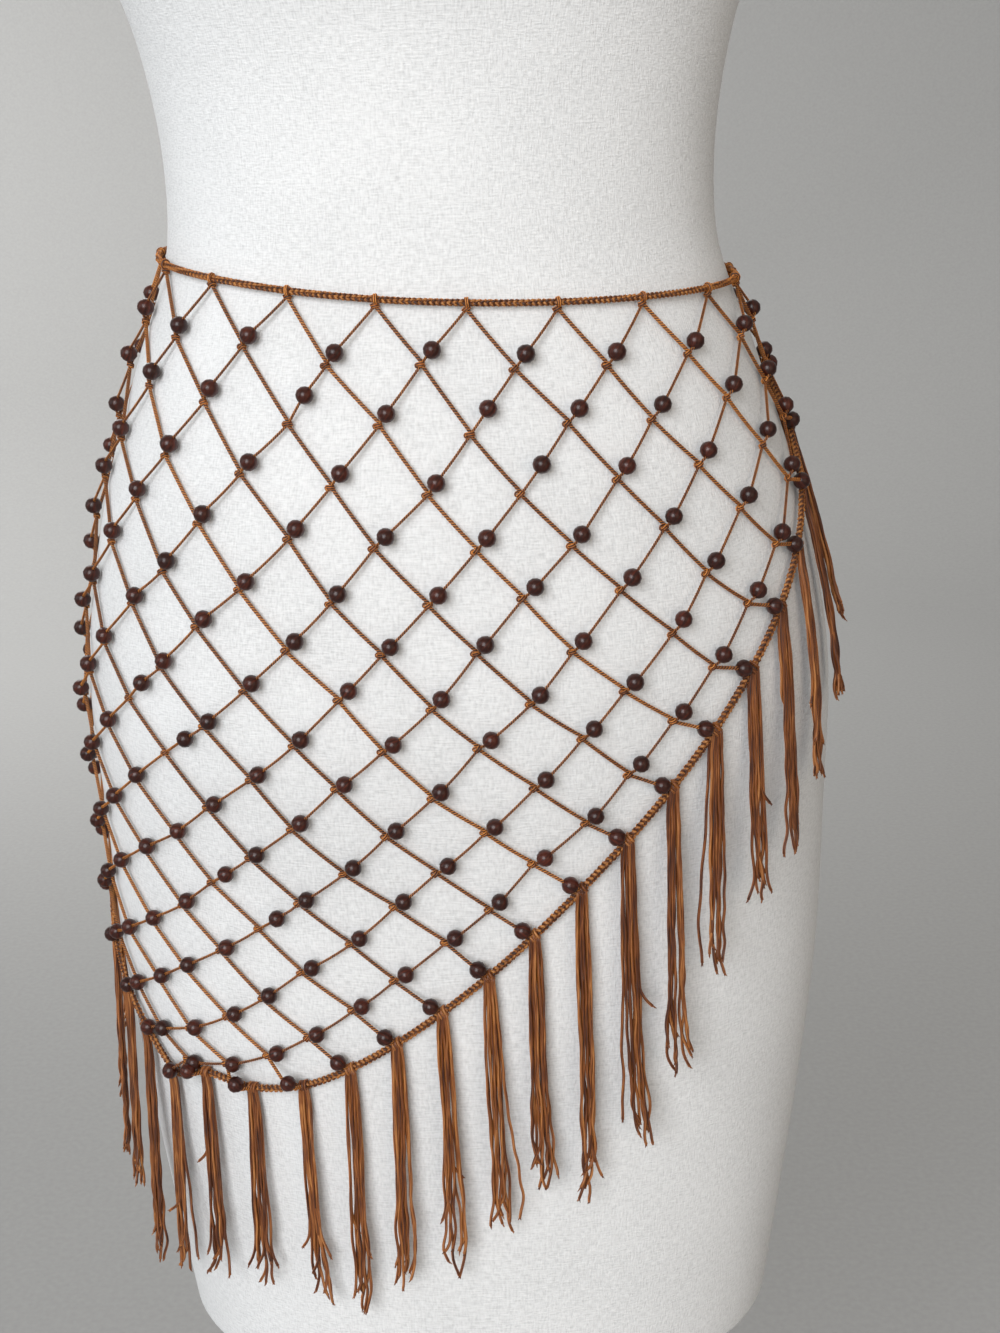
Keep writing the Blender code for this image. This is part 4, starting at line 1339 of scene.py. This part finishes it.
def makeTassel(name, hemPlace, line, length, swing, node):
    hemCentre, _, _, outward = netFrame(*hemPlace(line), hemCord["standoff"])
    outward = horizontal(outward)
    right = upright.cross(outward)
    place = hemPlace(line - 0.5) if line > 0 else leftHemPlace(net["cells"])
    hemWay = netFrame(*hemPlace(line + 0.5), 0.0)[0] - netFrame(*place, 0.0)[0]
    slope = hemWay.z / hemWay.dot(right)
    hemWay = hemWay.normalized()
    drop = (hemCord["radius"] + tassels["hemGap"]) * math.sqrt(1 + slope**2) + tassels["headHeight"]
    root = hemCentre - upright * drop
    root += outward * pushOff(root, outward, tassels["clearance"])
    drops, offsets = hangLine(root, outward, length)
    start = hemCentre + outward * tassels["startOut"]
    widen = chance.uniform(*tassels["opening"])
    lazy = chance.uniform(-tassels["lazy"], tassels["lazy"])
    wave = chance.uniform(0.0, fullTurn)
    loosenFrom = tassels["loosenFrom"]
    cords = []
    for strand in range(tassels["across"] * tassels["layers"]):
        column = strand % tassels["across"] - (tassels["across"] - 1) / 2
        layer = strand // tassels["across"] - (tassels["layers"] - 1) / 2
        stray, depthStray = tassels["pitchStray"], tassels["depthStray"]
        across = column * tassels["pitch"] + chance.uniform(-stray, stray)
        depth = layer * tassels["depthPitch"] + chance.uniform(-depthStray, depthStray)
        habit = strandHabit(length)
        whole = drop + habit["length"]
        points = []
        for ring in range(tassels["rings"] + 1):
            run = whole * ring / tassels["rings"]
            hang = max(run - drop, 0.0)
            if run < drop:
                place = start.lerp(root, run / drop)
            else:
                place = root - upright * hang + outward * float(np.interp(hang, drops, offsets))
            t = hang / length
            loose = min(max((t - loosenFrom) / (1 - loosenFrom), 0.0), 1.0) ** tassels["loosening"]
            fade = math.exp(-run / tassels["gatherFade"])
            tail = max(1 - (whole - run) / tassels["tail"], 0.0) ** 2
            sway = tassels["sway"] * min(run / drop, 1.0) + tassels["looseSway"] * loose
            longTurn = fullTurn * run / habit["longWave"]
            shortTurn = fullTurn * run / habit["shortWave"]
            aside = across * (1 - tassels["gather"] * fade) * (1 + (widen - 1) * t)
            aside += sway * math.sin(longTurn + habit["longPhase"])
            aside += tassels["shortSway"] * sway * math.sin(shortTurn + habit["shortPhase"])
            aside += habit["flick"] * tail + habit["drift"] * loose
            aside += habit["stray"] * t ** tassels["strayPower"]
            aside += lazy * t ** tassels["lazyPower"] + swing * t * length
            aside += tassels["waver"] * t * math.sin(tassels["waverLength"] * t + wave)
            deep = depth * (1 - tassels["depthGather"] * fade) + habit["lift"] * tail
            deep += tassels["depthSway"] * sway * math.sin(shortTurn + habit["longPhase"])
            deep += tassels["outwardDrift"] * t
            points.append(place + right * aside + outward * deep
                          + upright * (tassels["tailRise"] * tail))
        path = asRows(points)
        cords.append({"path": path, "outward": outward, "tone": chance.random()})
        cords += tuftAt(path, right, outward)
    # the knot round the hem cord
    across = hemWay.cross(outward).normalized()
    cords.append(woundCord(tassels["knot"], hemCentre, hemWay, across, outward))
    piece = sweepCords(name, cords, crossSection(tassels["strandRadius"], tassels["sides"]))
    dress(piece, tasselYarn, [node])


def makeTassels():
    cells = net["cells"]
    for number, length in enumerate(tassels["rightLengths"], 1):
        makeTassel(f"tasselRight{number:02d}", rightHemPlace, cells - number, length,
                   tassels["swing"], f"tassel_right_{number:02d}")
    for number in range(1, cells + 1):
        rhythm = math.sin(tassels["leftRhythm"] * (number - 1))
        makeTassel(f"tasselLeft{number:02d}", leftHemPlace, number,
                   tassels["leftLength"] + tassels["leftSpread"] * rhythm, 0.0,
                   f"tassel_left_{number:02d}")


makeTassels()
print("tassels made")


# the tie at the back: the cord's ends knotted over themselves and hanging

tie = {
    "standoff": 0.0032,
    # across, down and outwards from the knot's middle, in millimetres
    "through": ((-5.5, 0, 0.4), (-2.5, 0, 0.4), (0, 0, 0.4), (2.5, 0, 0.4), (5.5, 0, 0.4)),
    "end": ((0.8, 0.0, 1.8), (1.8, 3.5, 2.0), (2.6, 9.0, 1.2), (3.6, 22.0, 0.8),
            (4.6, 40.0, 0.9), (4.4, 58.0, 1.2)),
    "clearance": 0.0030,
    "loop": (0.0034, 0.00272, 2.0, 0.0050, 22),
    "loopOut": 0.0006,
    "endKnot": (0.0022, 0.0020, 2.5, 0.0030, 20),
    "tilt": 0.02,               # keeps a strand's sides apart where it runs straight outwards
}


def makeTie():
    centre, _, _, outward = formFrame(*waistPlace(net["cells"] + 0.5), tie["standoff"])
    outward = horizontal(outward)
    right = upright.cross(outward)

    def placed(across, down, out):
        return centre + (right * across - upright * down + outward * out) * 0.001

    def plaited(points, facing):
        return plaitStrands(points, [facing] * len(points), waistCord)[0]

    paths = plaited([placed(*spot) for spot in tie["through"]], outward)
    loop = wrapPath(tie["loop"], centre + outward * tie["loopOut"], right, upright, outward)
    paths += plaited(loop, right)
    for side in (-1, 1):
        points = [placed(side * across, down, out) for across, down, out in tie["end"]]
        push = max(pushOff(point, outward, tie["clearance"]) for point in points)
        last = len(points) - 1
        points = [point + outward * (push * index / last) for index, point in enumerate(points)]
        paths += plaited(points, outward)
        paths.append(wrapPath(tie["endKnot"], points[-1], upright, right, outward))
    facing = outward + upright * tie["tilt"]
    cords = [{"path": path, "outward": facing, "tone": chance.random()} for path in paths]
    piece = sweepCords("tieKnot", cords, crossSection(waistCord["strandRadius"], plait["sides"]))
    dress(piece, plaitCord, ["tie_knot"])


makeTie()
print("tie made")


# floor and backdrop, light and camera

studio = {
    "radius": 4.6,
    "cove": 1.6,
    "coveSteps": 12,
    "wall": 3.4,
    "steps": 96,
    "mottle": 6.25,             # millimetres, the paper's faint cloudiness
    "colors": ((0.3, "#9E9E9D"), (0.7, "#A4A4A3")),
    "roomColor": "#F8F4EE",
    "roomStrength": 0.48,
}
softboxes = (
    # name, place, target, size, watts, colour, spread in degrees
    ("windowLight", (-1.0, -3.0, 2.2), (0.0, 0.0, 0.85), (2.0, 2.2), 110, "#FAFCFF", 180),
    ("frontFill", (1.8, -2.2, 1.4), (0.0, 0.0, 0.8), (2.0, 2.0), 13, "#FFE9D2", 180),
    ("backFill", (-0.9, 2.9, 2.4), (0.0, 0.0, 0.9), (2.2, 1.8), 34, "#FFFFFF", 180),
    ("leftFill", (-2.8, -0.6, 1.7), (0.0, 0.0, 0.9), (1.6, 2.0), 14, "#F6FAFF", 180),
    ("wallWash", (-2.8, 1.6, 2.8), (-1.5, 4.4, 1.0), (2.0, 2.0), 74, "#FFFFFF", 120),
)
view = {
    "place": (0.0518, -0.8201, 1.0768),
    "yaw": -0.0382,             # turned a little to its left
    "pitch": 0.31,              # looking down
    "roll": -0.0294,
    "lens": 47.26,              # millimetres
    "sensor": 36.0,             # along the frame's long side
    "nearest": 0.05,
}


def makeStudio():
    # a round cove of seamless paper, so that every side has the same plain ground
    radius, curve = studio["radius"], studio["cove"]
    outline = [(0.0, 0.0)]
    for step in range(studio["coveSteps"] + 1):
        turn = math.pi / 2 * step / studio["coveSteps"]
        outline.append((radius - curve * (1 - math.sin(turn)), curve * (1 - math.cos(turn))))
    outline.append((radius, studio["wall"]))
    cove = spinOutline("studioCove", outline, (0, 0), studio["steps"], merge=0.0001, inwards=True)
    bpy.ops.object.shade_smooth()
    material, tree, shader = newMaterial("seamlessPaper")
    place = addNode(tree, "TexCoord").outputs["Object"]
    mottle = addNode(tree, "TexNoise", {
        "Vector": place, "Scale": 1000 / studio["mottle"], "Detail": 4.0})
    setInputs(tree, shader, {
        "Base Color": addNode(tree, "ValToRGB", {"Fac": mottle}, studio["colors"]),
        "Roughness": 0.95,
    })
    cove.data.materials.append(material)


def makeLight():
    for name, place, target, size, watts, color, spread in softboxes:
        bpy.ops.object.light_add(type="AREA", location=place)
        lamp = bpy.context.object
        lamp.name = name
        lamp.data.shape = "RECTANGLE"
        lamp.data.size, lamp.data.size_y = size
        lamp.data.energy = watts
        lamp.data.spread = math.radians(spread)
        lamp.data.color = linearColor(color)[:3]
        aim = Vector(target) - Vector(place)
        lamp.rotation_euler = aim.to_track_quat("-Z", "Y").to_euler()
    world = bpy.data.worlds.new("studioWorld")
    bpy.context.scene.world = world
    world.use_nodes = True
    setInputs(world.node_tree, world.node_tree.nodes["Background"], {
        "Color": linearColor(studio["roomColor"]), "Strength": studio["roomStrength"]})
    bpy.context.scene.view_settings.view_transform = "Standard"


def makeCamera():
    yaw, pitch, roll = view["yaw"], view["pitch"], view["roll"]
    ahead = Vector((math.sin(yaw) * math.cos(pitch), math.cos(yaw) * math.cos(pitch),
                    -math.sin(pitch)))
    level = Vector((math.cos(yaw), -math.sin(yaw), 0))
    up = level.cross(ahead)
    right = level * math.cos(roll) + up * math.sin(roll)
    top = up * math.cos(roll) - level * math.sin(roll)
    bpy.ops.object.camera_add(location=view["place"])
    camera = bpy.context.object
    camera.rotation_euler = Matrix((right, top, -ahead)).transposed().to_euler()
    camera.data.lens = view["lens"]
    camera.data.sensor_width = view["sensor"]
    camera.data.clip_start = view["nearest"]
    bpy.context.scene.camera = camera


deselectAll()
makeStudio()
makeLight()
makeCamera()
deselectAll()
print("studio made")
